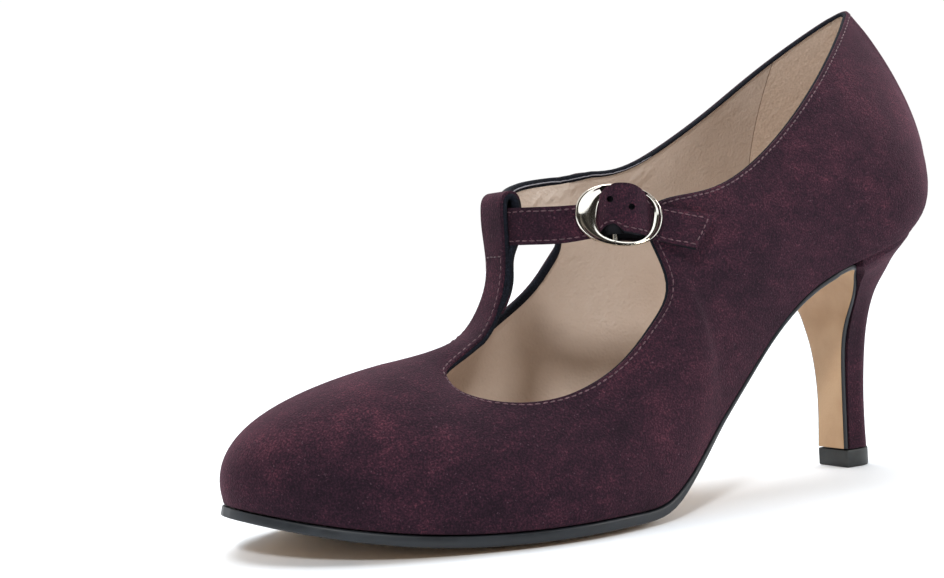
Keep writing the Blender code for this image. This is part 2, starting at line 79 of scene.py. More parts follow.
SECTIONS = np.array([
    # fx, fy: feather; ex, ey, ez: cut edge; o1, h1: out and up from the feather; o2, h2, b2: out, down, back
    (12.7, 0.0, 26.0, 0.0, 135.9, 17.4, 10.2, 20.2, 21.8, 0.0),
    (18.1, 14.3, 34.5, 8.5, 129.5, 14.7, 8.5, 15.9, 23.2, 0.0),
    (29.3, 22.7, 48.9, 16.5, 118.1, 7.8, 12.0, 10.0, 22.4, 0.0),
    (46.0, 24.5, 63.8, 21.8, 105.6, 5.0, 15.5, 6.9, 18.1, 0.0),
    (64.0, 23.9, 83.7, 25.3, 90.5, 4.3, 16.0, 5.6, 15.0, 0.0),
    (80.0, 23.9, 103.8, 27.2, 81.6, 3.8, 17.1, 4.0, 13.0, 3.0),
    (92.9, 25.5, 118.8, 26.5, 79.1, 3.8, 18.1, 3.0, 11.0, 6.0),
    (100.9, 27.3, 123.3, 25.8, 75.2, 3.8, 18.0, 3.0, 9.0, 9.0),
    (109.9, 29.9, 118.6, 28.4, 60.0, 3.8, 15.0, 3.0, 8.0, 10.0),
    (120.9, 33.5, 124.4, 30.3, 50.0, 3.8, 13.0, 3.5, 9.0, 6.0),
    (136.9, 38.2, 136.9, 31.8, 40.0, 3.3, 10.0, 4.0, 9.0, 2.0),
    (154.0, 40.4, 152.1, 32.0, 33.8, 3.3, 9.0, 4.4, 8.0, 0.0),
    (170.1, 38.7, 164.4, 29.6, 32.6, 3.3, 10.0, 6.4, 6.0, 0.0),
    (188.2, 33.9, 172.6, 22.5, 34.2, 3.3, 12.0, 10.4, 5.0, 0.0),
    (204.4, 27.2, 174.6, 13.5, 37.1, 3.9, 13.9, 18.4, 3.0, 0.0),
    (213.6, 20.7, 173.8, 9.0, 39.8, 4.4, 15.6, 24.4, 2.9, 0.0),
    (221.3, 11.9, 173.1, 5.0, 42.7, 5.0, 17.1, 30.6, 4.3, 0.0),
    (226.9, -3.5, 172.4, 0.0, 44.3, 5.6, 18.5, 35.3, 5.4, 0.0),
    (221.8, -16.5, 171.5, -4.5, 43.7, 5.2, 17.2, 30.4, 5.4, 0.0),
    (213.6, -24.9, 170.1, -8.5, 41.4, 4.5, 13.1, 22.7, 5.4, 0.0),
    (202.4, -31.8, 166.5, -14.5, 39.4, 3.9, 11.5, 14.4, 5.0, 0.0),
    (186.1, -37.1, 158.5, -22.0, 40.3, 3.3, 10.9, 8.4, 7.0, 0.0),
    (168.0, -39.7, 147.5, -27.0, 44.7, 3.3, 11.9, 5.4, 9.0, 0.0),
    (148.9, -38.1, 136.2, -28.9, 51.1, 3.3, 13.0, 4.0, 10.0, 3.0),
    (130.8, -32.7, 125.4, -28.0, 59.0, 3.3, 14.0, 3.5, 9.0, 6.0),
    (115.8, -26.7, 118.8, -26.2, 67.6, 3.3, 16.0, 3.0, 8.0, 9.0),
    (103.8, -21.9, 115.5, -24.9, 73.9, 3.8, 18.0, 3.0, 8.0, 10.0),
    (95.9, -19.4, 115.6, -24.3, 80.9, 3.8, 18.0, 3.0, 8.0, 10.0),
    (88.0, -18.3, 114.4, -24.1, 88.7, 3.8, 18.0, 3.0, 11.0, 8.0),
    (77.0, -18.7, 101.4, -24.0, 90.6, 3.8, 18.0, 4.0, 14.0, 3.0),
    (63.1, -20.7, 80.5, -23.8, 97.6, 4.3, 17.0, 5.0, 17.0, 0.0),
    (46.0, -24.1, 61.7, -22.3, 108.8, 5.3, 16.1, 7.1, 19.0, 0.0),
    (29.3, -22.7, 46.2, -18.0, 120.2, 7.1, 14.1, 10.7, 21.9, 0.0),
    (18.1, -14.3, 32.8, -9.0, 130.7, 14.4, 11.6, 17.4, 24.8, 0.0),
])
THROAT_OUTER = 15
THROAT_INNER = 19


def on_last(points):
    placed = np.array(points, float) * GRADE * 0.001
    placed[..., 0] += LAST_X
    placed[..., 1] += LAST_Y
    return placed


def chord_knots(points):
    steps = np.linalg.norm(np.diff(np.asarray(points, float), axis=0), axis=1)
    return np.concatenate(([0.0], np.cumsum(steps)))


def fair_curve(knots, rows, at, closed=False):
    t = np.asarray(knots, float)
    v = np.asarray(rows, float)
    count = len(t)
    h = np.diff(t)[:, None]
    d = np.diff(v, axis=0) / h
    a = np.zeros((count, count))
    b = np.zeros_like(v)
    for i in range(1, count - 1):
        a[i, i - 1:i + 2] = 1 / h[i - 1, 0], 2 / h[i - 1, 0] + 2 / h[i, 0], 1 / h[i, 0]
        b[i] = 3 * (d[i - 1] / h[i - 1] + d[i] / h[i])
    if closed:
        a[0, 0] = 2 / h[0, 0] + 2 / h[-1, 0]
        a[0, 1] = 1 / h[0, 0]
        a[0, count - 2] = 1 / h[-1, 0]
        b[0] = 3 * (d[0] / h[0] + d[-1] / h[-1])
        a[-1, -1] = 1
        a[-1, 0] = -1
    else:
        a[0, :2] = 2, 1
        b[0] = 3 * d[0]
        a[-1, -2:] = 1, 2
        b[-1] = 3 * d[-1]
    m = np.linalg.solve(a, b)
    at = np.atleast_1d(np.asarray(at, float))
    i = np.clip(np.searchsorted(t, at, side="right") - 1, 0, count - 2)
    w = h[i]
    s = (at - t[i])[:, None] / w
    start = (1 + 2 * s) * (1 - s) ** 2 * v[i] + s * (1 - s) ** 2 * w * m[i]
    return start + s * s * (3 - 2 * s) * v[i + 1] - s * s * (1 - s) * w * m[i + 1]


def feather_height(x, y):
    sides = fair_curve(FEATHER_LINE[:, 0], FEATHER_LINE[:, 1:], x)
    outer_share = np.clip(0.5 + np.asarray(y) / 36.0, 0.0, 1.0)
    return sides[:, 1] + (sides[:, 0] - sides[:, 1]) * outer_share


def make_active(piece):
    bpy.ops.object.select_all(action="DESELECT")
    piece.select_set(True)
    bpy.context.view_layer.objects.active = piece


def lay_grid(name, points):
    rows, cols = points.shape[:2]
    bpy.ops.object.select_all(action="DESELECT")
    bpy.ops.mesh.primitive_grid_add(x_subdivisions=cols - 1, y_subdivisions=rows - 1, size=1.0)
    piece = bpy.context.object
    piece.name = name
    piece.data.name = name
    piece.data.vertices.foreach_set("co", np.asarray(points, np.float32).ravel())
    piece.data.update()
    return piece


def shape_with(piece, kind, **settings):
    make_active(piece)
    modifier = piece.modifiers.new(kind.lower(), kind)
    for key, value in settings.items():
        setattr(modifier, key, value)
    bpy.ops.object.modifier_apply(modifier=modifier.name)


def face_outwards(piece):
    make_active(piece)
    bpy.ops.object.mode_set(mode="EDIT")
    bpy.ops.mesh.select_all(action="SELECT")
    bpy.ops.mesh.normals_make_consistent(inside=False)
    bpy.ops.object.mode_set(mode="OBJECT")


def smooth(piece, angle=180.0):
    make_active(piece)
    bpy.ops.object.shade_smooth_by_angle(angle=math.radians(angle))


def linear(code):
    parts = [int(code[i:i + 2], 16) / 255 for i in (1, 3, 5)]
    return tuple(c / 12.92 if c <= 0.04045 else ((c + 0.055) / 1.055) ** 2.4 for c in parts) + (1.0,)


def add(tree, kind, sockets=None, stops=(), **settings):
    made = tree.nodes.new(kind)
    for key, value in settings.items():
        setattr(made, key, value)
    for key, value in (sockets or {}).items():
        if isinstance(value, bpy.types.NodeSocket):
            tree.links.new(value, made.inputs[key])
        else:
            made.inputs[key].default_value = value
    for i, (place, code) in enumerate(stops):
        stop = made.color_ramp.elements[i] if i < 2 else made.color_ramp.elements.new(place)
        stop.position = place
        stop.color = linear(code)
    return made


def new_material(name):
    made = bpy.data.materials.new(name)
    made.use_nodes = True
    made.node_tree.nodes.clear()
    return made, made.node_tree


def per_mm(size):
    return 1000.0 / size


# Lining leather: undyed calf, drum-dried, with a low waxed sheen and fine pores.
# It shows soft cloudy tones, a pebble grain of under a millimetre and the folds pressed in by hand.
# Behind the grip line the calf is turned flesh side out, so it is duller there.
def lining_leather(name, light, dark, coat, folds=(), grip=None):
    made, tree = new_material(name)
    at = add(tree, "ShaderNodeTexCoord").outputs["Object"]
    cloud = add(tree, "ShaderNodeTexNoise", {
        "Vector": at, "Scale": per_mm(26), "Detail": 3.0}).outputs["Fac"]
    tone = add(tree, "ShaderNodeValToRGB", {"Fac": cloud}, stops=(
        (0.3, dark), (0.7, light))).outputs["Color"]
    pebble = add(tree, "ShaderNodeTexVoronoi", {"Vector": at, "Scale": per_mm(0.9)}).outputs["Distance"]
    crease = add(tree, "ShaderNodeTexNoise", {
        "Vector": at, "Scale": per_mm(7), "Detail": 4.0, "Distortion": 1.2}).outputs["Fac"]
    rough = add(tree, "ShaderNodeMapRange", {
        "Value": crease, "From Min": 0.3, "From Max": 0.7, "To Min": 0.34, "To Max": 0.52}).outputs[0]
    relief = add(tree, "ShaderNodeBump", {"Height": pebble, "Strength": 0.5, "Distance": 0.0003}).outputs[0]
    relief = add(tree, "ShaderNodeBump", {
        "Height": crease, "Strength": 0.3, "Distance": 0.0012, "Normal": relief}).outputs[0]
    for start, end, half in folds:
        start = Vector(on_last(start))
        run = Vector(on_last(end)) - start
        side = run.cross(Vector((0.0, 1.0, 0.0))).normalized()
        from_start = add(tree, "ShaderNodeVectorMath", {0: at, 1: start}, operation="SUBTRACT").outputs[0]
        along = add(tree, "ShaderNodeVectorMath", {
            0: from_start, 1: run / run.length_squared}, operation="DOT_PRODUCT").outputs["Value"]
        middle = add(tree, "ShaderNodeMath", {0: along, 1: 0.5}, operation="SUBTRACT").outputs[0]
        past = add(tree, "ShaderNodeMath", {0: middle}, operation="ABSOLUTE").outputs[0]
        ends = add(tree, "ShaderNodeMapRange", {
            "Value": past, "From Min": 0.15, "From Max": 0.5, "To Min": 1.0, "To Max": 0.0},
            interpolation_type="SMOOTHSTEP").outputs[0]
        across = add(tree, "ShaderNodeVectorMath", {
            0: from_start, 1: side}, operation="DOT_PRODUCT").outputs["Value"]
        away = add(tree, "ShaderNodeMath", {0: across}, operation="ABSOLUTE").outputs[0]
        ridge = add(tree, "ShaderNodeMapRange", {
            "Value": away, "From Min": 0.0, "From Max": half * 0.001, "To Min": 1.0, "To Max": 0.0},
            interpolation_type="SMOOTHSTEP").outputs[0]
        height = add(tree, "ShaderNodeMath", {0: ridge, 1: ends}, operation="MULTIPLY").outputs[0]
        relief = add(tree, "ShaderNodeBump", {
            "Height": height, "Strength": 0.5, "Distance": 0.0007, "Normal": relief}).outputs[0]
    if grip:
        top = Vector(on_last(grip[0]))
        run = Vector(on_last(grip[1])) - top
        across = Vector((-run.z, 0.0, run.x)).normalized()
        past = add(tree, "ShaderNodeVectorMath", {
            0: add(tree, "ShaderNodeVectorMath", {0: at, 1: top}, operation="SUBTRACT").outputs[0],
            1: across}, operation="DOT_PRODUCT").outputs["Value"]
        front = add(tree, "ShaderNodeMapRange", {
            "Value": past, "From Min": -0.0001, "From Max": 0.0001}).outputs[0]
        flesh = add(tree, "ShaderNodeValToRGB", {"Fac": add(tree, "ShaderNodeTexNoise", {
            "Vector": at, "Scale": per_mm(0.7), "Detail": 2.0}).outputs["Fac"]}, stops=(
            (0.3, "#c6b19e"), (0.7, "#d5c1b0"))).outputs["Color"]
        tone = add(tree, "ShaderNodeMix", {"Factor": front, 6: flesh, 7: tone}, data_type="RGBA").outputs[2]
        rough = add(tree, "ShaderNodeMix", {
            "Factor": front, 2: 0.85, 3: rough}, data_type="FLOAT").outputs[0]
        seam = add(tree, "ShaderNodeMath", {0: past, 1: 0.0, 2: 0.00016}, operation="COMPARE").outputs[0]
        tone = add(tree, "ShaderNodeMix", {
            "Factor": seam, 6: tone, 7: linear("#8b7969")}, data_type="RGBA").outputs[2]
    shade = add(tree, "ShaderNodeBsdfPrincipled", {
        "Base Color": tone, "Roughness": rough, "Normal": relief, "IOR": 1.48, "Coat Weight": coat,
        "Coat Roughness": 0.35})
    add(tree, "ShaderNodeOutputMaterial", {"Surface": shade.outputs[0]})
    return made


SOCK_THICK = 2.0
SOCK_INSET = WALL + 0.1
SOCK_HEEL = 14.5
SOCK_DISH = 1.1
SOCK_TIP = 1.5

RING = np.vstack((SECTIONS, SECTIONS[:1]))
RING_KNOTS = 0.5 * chord_knots(RING[:, :2]) + 0.5 * chord_knots(RING[:, 2:5])
ROUND = RING_KNOTS[-1]
plan = fair_curve(RING_KNOTS, RING[:, :2], np.linspace(0.0, ROUND, 721)[:-1], closed=True)
toe_at = int(np.argmax(plan[:, 0]))
heel_at = int(np.argmin(plan[:, 0]))
outer_plan = plan[heel_at:toe_at + 1]
inner_plan = np.vstack((plan[toe_at:], plan[:heel_at + 1]))[::-1]
TOE_X = plan[toe_at, 0]


def plan_y(side, x):
    order = np.argsort(side[:, 0])
    return np.interp(x, side[order, 0], side[order, 1])


sock_end = TOE_X - SOCK_INSET - 0.8
sock_x = SOCK_HEEL + (sock_end - SOCK_HEEL) * 0.5 * (1 - np.cos(np.linspace(0.0, math.pi, 90)))
sock_rows = []
for x in sock_x:
    lean_outer = float(plan_y(outer_plan, x + 0.5) - plan_y(outer_plan, x - 0.5))
    lean_inner = float(plan_y(inner_plan, x + 0.5) - plan_y(inner_plan, x - 0.5))
    y_outer = float(plan_y(outer_plan, x)) - SOCK_INSET * math.hypot(1.0, lean_outer)
    y_inner = float(plan_y(inner_plan, x)) + SOCK_INSET * math.hypot(1.0, lean_inner)
    if y_outer - y_inner < 2 * SOCK_TIP:
        middle = 0.5 * (y_outer + y_inner)
        y_outer = middle + SOCK_TIP
        y_inner = middle - SOCK_TIP
    across = np.linspace(1.0, -1.0, 21)
    y = 0.5 * (y_outer + y_inner) + 0.5 * (y_outer - y_inner) * across
    z = feather_height(np.full(21, x), y) + JOINT_GAP + SOCK_THICK + SOCK_DISH * across ** 4
    sock_rows.append(np.column_stack((np.full(21, x), y, z)))
insole = lay_grid("insole_sock", on_last(sock_rows))
face_outwards(insole)
if sum(face.normal.z for face in insole.data.polygons) < 0:
    insole.data.flip_normals()
shape_with(insole, "SOLIDIFY", thickness=SOCK_THICK * 0.00095, offset=-1.0)
shape_with(insole, "BEVEL", width=0.0004, segments=2, limit_method="ANGLE", angle_limit=math.radians(50))
smooth(insole, 60)
sock_leather = lining_leather("sock_leather_beige", "#d4c4b6", "#c0b0a2", 0.14)
insole.data.materials.append(sock_leather)
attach(insole, "root")
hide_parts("insole")


# Upper: vamp, quarters, counter and T-bar of plum goat suede, closed at the back under a strip and pulled
# over the last. Columns run from the feather up to the cut edge; the T-bar is extruded from the throat and
# folds back on itself as the loop that carries the strap.
SUEDE = 0.0010
STRIP_HALF = 7.0
STRIP_PROUD = 0.7
STRIP_EDGE = STRIP_HALF + 0.25
T_BAR = np.array([
    # x, z, half width
    (172.4, 43.4, 8.75),
    (166.0, 45.3, 7.3),
    (160.3, 48.7, 5.8),
    (155.9, 54.8, 4.8),
    (153.4, 62.2, 4.3),
    (153.1, 68.0, 4.6),
    (153.4, 74.0, 5.1),
    (153.4, 80.2, 5.2),
    (152.6, 82.8, 5.2),
    (150.3, 84.0, 5.2),
    (148.0, 83.0, 5.2),
    (147.1, 79.8, 5.2),
    (147.1, 74.5, 5.1),
    (148.2, 70.4, 4.9),
    (149.7, 66.6, 4.5),
    (149.9, 62.0, 4.3),
    (151.4, 57.2, 4.7),
    (154.2, 52.5, 5.0),
])


def upper_surface(u, v):
    u = np.mod(np.asarray(u, float), ROUND)
    row = fair_curve(RING_KNOTS, RING, u, closed=True)
    ahead = fair_curve(RING_KNOTS, RING[:, :2], np.mod(u + 0.5, ROUND), closed=True)
    behind = fair_curve(RING_KNOTS, RING[:, :2], np.mod(u - 0.5, ROUND), closed=True)
    run = ahead - behind
    run /= np.linalg.norm(run, axis=1)[:, None]
    out = np.stack((-run[:, 1], run[:, 0], np.zeros(len(u))), axis=1)
    up = np.array((0.0, 0.0, 1.0))
    low = np.column_stack((row[:, 0], row[:, 1], feather_height(row[:, 0], row[:, 1])))
    high = row[:, 2:5]
    p1 = low + out * row[:, 5:6] + up * row[:, 6:7]
    p2 = high + out * row[:, 7:8] - up * row[:, 8:9]
    p2[:, 0] -= row[:, 9]
    v = np.asarray(v, float)[:, None, None]
    point = (1 - v) ** 3 * low + 3 * v * (1 - v) ** 2 * p1 + 3 * v * v * (1 - v) * p2 + v ** 3 * high
    return point, out


throat_from = RING_KNOTS[THROAT_OUTER]
throat_to = RING_KNOTS[THROAT_INNER]
around = np.concatenate((
    np.linspace(0.0, STRIP_HALF, 5),
    np.linspace(STRIP_EDGE, throat_from, 54),
    np.linspace(throat_from, throat_to, 13)[1:],
    np.linspace(throat_to, ROUND - STRIP_EDGE, 54)[1:],
    np.linspace(ROUND - STRIP_HALF, ROUND, 5),
))
levels = np.linspace(0.0, 1.0, 25)
cage, outward = upper_surface(around, levels)
on_strip = (around < STRIP_HALF + 0.1) | (around > ROUND - STRIP_HALF - 0.1)
fade = np.interp(levels, (0.0, 0.92, 0.95, 1.0), (1.0, 1.0, 0.55, 0.45))
cage = cage + outward[None] * (on_strip * STRIP_PROUD)[None, :, None] * fade[:, None, None]
cage[:, -1] = cage[:, 0]
upper = lay_grid("upper_suede", on_last(cage))
make_active(upper)
bpy.ops.object.mode_set(mode="EDIT")
bpy.ops.mesh.select_mode(type="EDGE")
bpy.ops.mesh.select_all(action="SELECT")
bpy.ops.mesh.remove_doubles(threshold=1e-6)
bpy.ops.mesh.select_all(action="DESELECT")
throat = [j for j in range(len(around)) if throat_from - 1e-6 <= around[j] <= throat_to + 1e-6]
throat_edge = cage[-1][throat]
work = bmesh.from_edit_mesh(upper.data)
corner = {tuple(np.round(p, 6)) for p in on_last(throat_edge)}
for edge in work.edges:
    edge.select = all(tuple(np.round(v.co, 6)) in corner for v in edge.verts)
bmesh.update_edit_mesh(upper.data)
t_knots = chord_knots(T_BAR[:, :2])
fold_at = t_knots[7]
t_along = np.concatenate((np.linspace(0.0, fold_at, 17)[1:], np.linspace(fold_at, t_knots[-1], 31)[1:]))
t_across = np.linspace(1.0, -1.0, len(throat))
t_lean = (throat_edge - throat_edge.mean(axis=0)) * np.array((1.0, 0.0, 1.0))
for s, (x, z, half) in zip(t_along, fair_curve(t_knots, T_BAR, t_along)):
    row = np.column_stack((np.full(len(throat), x), half * t_across, np.full(len(throat), z)))
    row[:, 0] -= 0.25 * t_across ** 2
    row += t_lean * max(0.0, 1.0 - s / 20.0) ** 2
    bpy.ops.mesh.extrude_region_move(TRANSFORM_OT_translate={"value": (0.0, 0.0, 0.0)})
    work = bmesh.from_edit_mesh(upper.data)
    fresh = sorted((v for v in work.verts if v.select), key=lambda v: -v.co.y)
    for vert, place in zip(fresh, on_last(row)):
        vert.co = place
    bmesh.update_edit_mesh(upper.data)
bpy.ops.object.mode_set(mode="OBJECT")
upper.data.update()
vamp_top = max(upper.data.polygons, key=lambda face: face.center.x * (face.center.z > 0.03))
if vamp_top.normal.z < 0:
    upper.data.flip_normals()
shape_with(upper, "SUBSURF", levels=1, render_levels=1)
root_low = on_last((162.0, -11.0, 38.0))
root_high = on_last((182.0, 11.0, 50.0))
make_active(upper)
bpy.ops.object.mode_set(mode="EDIT")
bpy.ops.mesh.select_mode(type="VERT")
bpy.ops.mesh.select_all(action="DESELECT")
bpy.ops.object.mode_set(mode="OBJECT")
for vert in upper.data.vertices:
    vert.select = all(root_low[i] < vert.co[i] < root_high[i] for i in range(3))
bpy.ops.object.mode_set(mode="EDIT")
bpy.ops.mesh.vertices_smooth(factor=0.5, repeat=10)
bpy.ops.object.mode_set(mode="OBJECT")

# The finished sheet's outer face carries the stitches, and its rim loop the binding.
form = bmesh.new()
form.from_mesh(upper.data)
form.normal_update()
outer_face = BVHTree.FromBMesh(form)


def rim_loops(mesh):
    left = {e for e in mesh.edges if e.is_boundary}
    loops = []
    while left:
        edge = left.pop()
        start, at = edge.verts
        loop = [start]
        while at is not start:
            loop.append(at)
            edge = next(e for e in at.link_edges if e in left)
            left.discard(edge)
            at = edge.other_vert(at)
        loops.append(loop)
    return loops


opening = max(rim_loops(form), key=lambda loop: max(v.co.z for v in loop))
rim = np.array([v.co for v in opening])
rim_out = np.array([v.normal for v in opening])
rim_in = []
for vert in opening:
    inner = [e.other_vert(vert).co - vert.co for e in vert.link_edges if not e.is_boundary]
    rim_in.append(sum(inner, Vector()).normalized() if inner else Vector())
rim_in = np.array(rim_in)
rim_run = np.roll(rim, -1, axis=0) - np.roll(rim, 1, axis=0)
rim_run /= np.linalg.norm(rim_run, axis=1)[:, None]
for _ in range(3):
    rim_in = 0.5 * rim_in + 0.25 * np.roll(rim_in, 1, axis=0) + 0.25 * np.roll(rim_in, -1, axis=0)
rim_in -= rim_out * (rim_in * rim_out).sum(axis=1)[:, None]
rim_in -= rim_run * (rim_in * rim_run).sum(axis=1)[:, None]
rim_in /= np.linalg.norm(rim_in, axis=1)[:, None]
lining_data = upper.data.copy()


# Plum suede: goat split, buffed to a short nap and drum-dyed. The nap lies in brushed blotches, dark where
# it lies down and redder where it stands, with a dusting of fibre and a soft bloom at grazing angles.
# Nap and fibre are drawn coarser than life, so that they show.
def plum_suede(name):
    made, tree = new_material(name)
    at = add(tree, "ShaderNodeTexCoord").outputs["Object"]
    blotch = add(tree, "ShaderNodeTexNoise", {
        "Vector": at, "Scale": per_mm(24), "Detail": 4.0, "Roughness": 0.55,
        "Distortion": 0.5}).outputs["Fac"]
    brushed = add(tree, "ShaderNodeMapping", {"Vector": at, "Scale": (0.6, 1.0, 1.0)}).outputs[0]
    streak = add(tree, "ShaderNodeTexNoise", {
        "Vector": brushed, "Scale": per_mm(5.0), "Detail": 6.0, "Roughness": 0.72}).outputs["Fac"]
    nap = add(tree, "ShaderNodeTexNoise", {
        "Vector": at, "Scale": per_mm(0.5), "Detail": 2.0, "Roughness": 0.6}).outputs["Fac"]
    wide = add(tree, "ShaderNodeMath", {0: blotch, 1: 0.22}, operation="MULTIPLY").outputs[0]
    both = add(tree, "ShaderNodeMath", {0: streak, 1: 0.25, 2: wide}, operation="MULTIPLY_ADD").outputs[0]
    lay = add(tree, "ShaderNodeMath", {0: nap, 1: 0.45, 2: both}, operation="MULTIPLY_ADD").outputs[0]
    tone = add(tree, "ShaderNodeValToRGB", {"Fac": lay}, stops=(
        (0.36, "#1b1119"), (0.44, "#261721"), (0.51, "#351d28"), (0.60, "#562e39"))).outputs["Color"]
    fibre = add(tree, "ShaderNodeTexNoise", {
        "Vector": at, "Scale": per_mm(0.62), "Detail": 1.0}).outputs["Fac"]
    lint = add(tree, "ShaderNodeMapRange", {
        "Value": fibre, "From Min": 0.70, "From Max": 0.86, "To Min": 0.0, "To Max": 0.5}).outputs[0]
    colour = add(tree, "ShaderNodeMix", {
        "Factor": lint, 6: tone, 7: linear("#80606c")}, data_type="RGBA").outputs[2]
    fine = add(tree, "ShaderNodeBump", {"Height": nap, "Strength": 0.65, "Distance": 0.0004}).outputs[0]
    relief = add(tree, "ShaderNodeBump", {
        "Height": streak, "Strength": 0.2, "Distance": 0.0006, "Normal": fine}).outputs[0]
    shade = add(tree, "ShaderNodeBsdfPrincipled", {
        "Base Color": colour, "Roughness": 0.95, "Normal": relief, "Specular IOR Level": 0.12,
        "Sheen Weight": 0.27, "Sheen Roughness": 0.4, "Sheen Tint": linear("#b07a8c")})
    add(tree, "ShaderNodeOutputMaterial", {"Surface": shade.outputs[0]})
    return made


shape_with(upper, "SOLIDIFY", thickness=SUEDE, offset=-1.0, use_even_offset=True)
shape_with(upper, "BEVEL", width=0.00032, segments=2, limit_method="ANGLE", angle_limit=math.radians(55))
smooth(upper, 60)
suede = plum_suede("goat_suede_plum")
upper.data.materials.append(suede)
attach(upper, "root")
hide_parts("upper")

# Lining: beige calf inside the quarters and vamp, and black calf behind the T-bar, cemented to the suede
# and trimmed flush at the edge.
LINING = 0.0007
GLUE = 0.00004
lining = bpy.data.objects.new("upper_lining", lining_data)
bpy.context.scene.collection.objects.link(lining)
shape_with(lining, "DISPLACE", strength=-(SUEDE + GLUE), mid_level=0.0, direction="NORMAL")
shape_with(lining, "SOLIDIFY", thickness=LINING, offset=-1.0)
smooth(lining, 60)
FOLDS = (
    # start, end, half width: the inner quarter creases where the strap pulls on it
    ((81.0, -23.8, 92.2), (90.6, -24.0, 85.6), 2.1),
    ((84.6, -23.5, 92.0), (92.4, -23.8, 86.2), 1.6),
    ((103.6, -22.7, 90.7), (110.8, -23.2, 85.6), 1.9),
    ((109.2, -23.1, 88.1), (113.8, -23.2, 83.9), 1.5),
)
GRIP = ((42.0, -15.6, 121.0), (43.6, -25.3, 94.6))
lining.data.materials.append(lining_leather("calf_lining_beige", "#cbbaac", "#baa899", 0.1, FOLDS, GRIP))
# Black calf: dyed through, matt, with fine pores.
black_calf, tree = new_material("calf_lining_black")
at = add(tree, "ShaderNodeTexCoord").outputs["Object"]
pores = add(tree, "ShaderNodeTexNoise", {"Vector": at, "Scale": per_mm(0.7), "Detail": 3.0}).outputs["Fac"]
tone = add(tree, "ShaderNodeValToRGB", {"Fac": pores}, stops=(
    (0.3, "#0b0b0f"), (0.7, "#19191f"))).outputs["Color"]
relief = add(tree, "ShaderNodeBump", {"Height": pores, "Strength": 0.4, "Distance": 0.0003}).outputs[0]
shade = add(tree, "ShaderNodeBsdfPrincipled", {
    "Base Color": tone, "Roughness": 0.7, "Normal": relief, "Specular IOR Level": 0.15})
add(tree, "ShaderNodeOutputMaterial", {"Surface": shade.outputs[0]})
lining.data.materials.append(black_calf)
bar_low = on_last((143.0, -9.0, 43.0))
bar_high = on_last((171.0, 9.0, 90.0))
for face in lining.data.polygons:
    inside = all(bar_low[i] < face.center[i] < bar_high[i] for i in range(3))
    face.material_index = 1 if inside else 0
upper.data.materials.append(black_calf)
tail_front = on_last((151.6, 0.0, 0.0))[0]
for face in upper.data.polygons:
    spot = face.center
    behind = spot.x < tail_front and face.normal.x < 0.3 and spot.z < on_last((0.0, 0.0, 81.5))[2]
    face.material_index = 1 if behind and all(bar_low[i] < spot[i] < bar_high[i] for i in range(3)) else 0
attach(lining, "root")

# Topstitching: one row of polyester thread along the cut edges, about a millimetre in.
# Each stitch is a short bead of thread whose ends dive into the suede.
STITCH_PITCH = 0.0020
STITCH_LONG = 0.00150
STITCH_THICK = 0.00036
STITCH_IN = 0.0009
STITCH_PROUD = 0.00004
bpy.ops.object.select_all(action="DESELECT")
bpy.ops.mesh.primitive_uv_sphere_add(segments=8, ring_count=6, radius=0.5)
bead = bpy.context.object
bead_points = np.array([v.co for v in bead.data.vertices])[:, [2, 0, 1]]
bead_points[:, 2] -= 0.7 * bead_points[:, 0] ** 2
bead_faces = [tuple(face.vertices) for face in bead.data.polygons]
bpy.data.objects.remove(bead)


def every(points, pitch):
    run = chord_knots(points)
    at = np.arange(0.5 * pitch, run[-1], pitch)
    return np.column_stack([np.interp(at, run, points[:, i]) for i in range(points.shape[1])])


def sew(name, places, runs, outs, long=STITCH_LONG, thread_thick=STITCH_THICK):
    points = []
    faces = []
    for place, run, out in zip(places, runs, outs):
        side = np.cross(out, run)
        base = len(points) * len(bead_points)
        odd = math.sin(12.9898 * len(points)) * 43758.5453 % 1.0 - 0.5
        run = run + side * 0.16 * odd
        thick = thread_thick * (1.0 + 0.3 * odd)
        points.append(place + side * 0.00012 * odd + bead_points[:, :1] * run * long * (1.0 - 0.24 * odd)
                      + bead_points[:, 1:2] * side * thick + bead_points[:, 2:] * out * thick)
        faces.extend(tuple(base + i for i in face) for face in bead_faces)
    mesh = bpy.data.meshes.new(name)
    mesh.from_pydata(np.vstack(points).tolist(), [], faces)
    piece = bpy.data.objects.new(name, mesh)
    bpy.context.scene.collection.objects.link(piece)
    smooth(piece)
    return piece


def sew_on(name, surface, lines):
    places = []
    runs = []
    outs = []
    for line in lines:
        spots = every(line, STITCH_PITCH)
        turn = np.gradient(spots, axis=0)
        for spot, run in zip(spots, turn):
            place, out, _, _ = surface.find_nearest(Vector(spot))
            run = Vector(run) - out * out.dot(Vector(run))
            places.append(np.array(place + out * STITCH_PROUD))
            runs.append(np.array(run.normalized()))
            outs.append(np.array(out))
    return sew(name, places, runs, outs)


# Polyester thread: dull rose, lighter where its plies turn up.
thread, tree = new_material("polyester_thread_rose")
at = add(tree, "ShaderNodeTexCoord").outputs["Object"]
ply = add(tree, "ShaderNodeTexNoise", {"Vector": at, "Scale": per_mm(1.1), "Detail": 2.0}).outputs["Fac"]
tone = add(tree, "ShaderNodeValToRGB", {"Fac": ply}, stops=(
    (0.3, "#3c222b"), (0.6, "#58343f"), (0.8, "#7c5761"))).outputs["Color"]
shade = add(tree, "ShaderNodeBsdfPrincipled", {"Base Color": tone, "Roughness": 0.6, "Sheen Weight": 0.2})
add(tree, "ShaderNodeOutputMaterial", {"Surface": shade.outputs[0]})

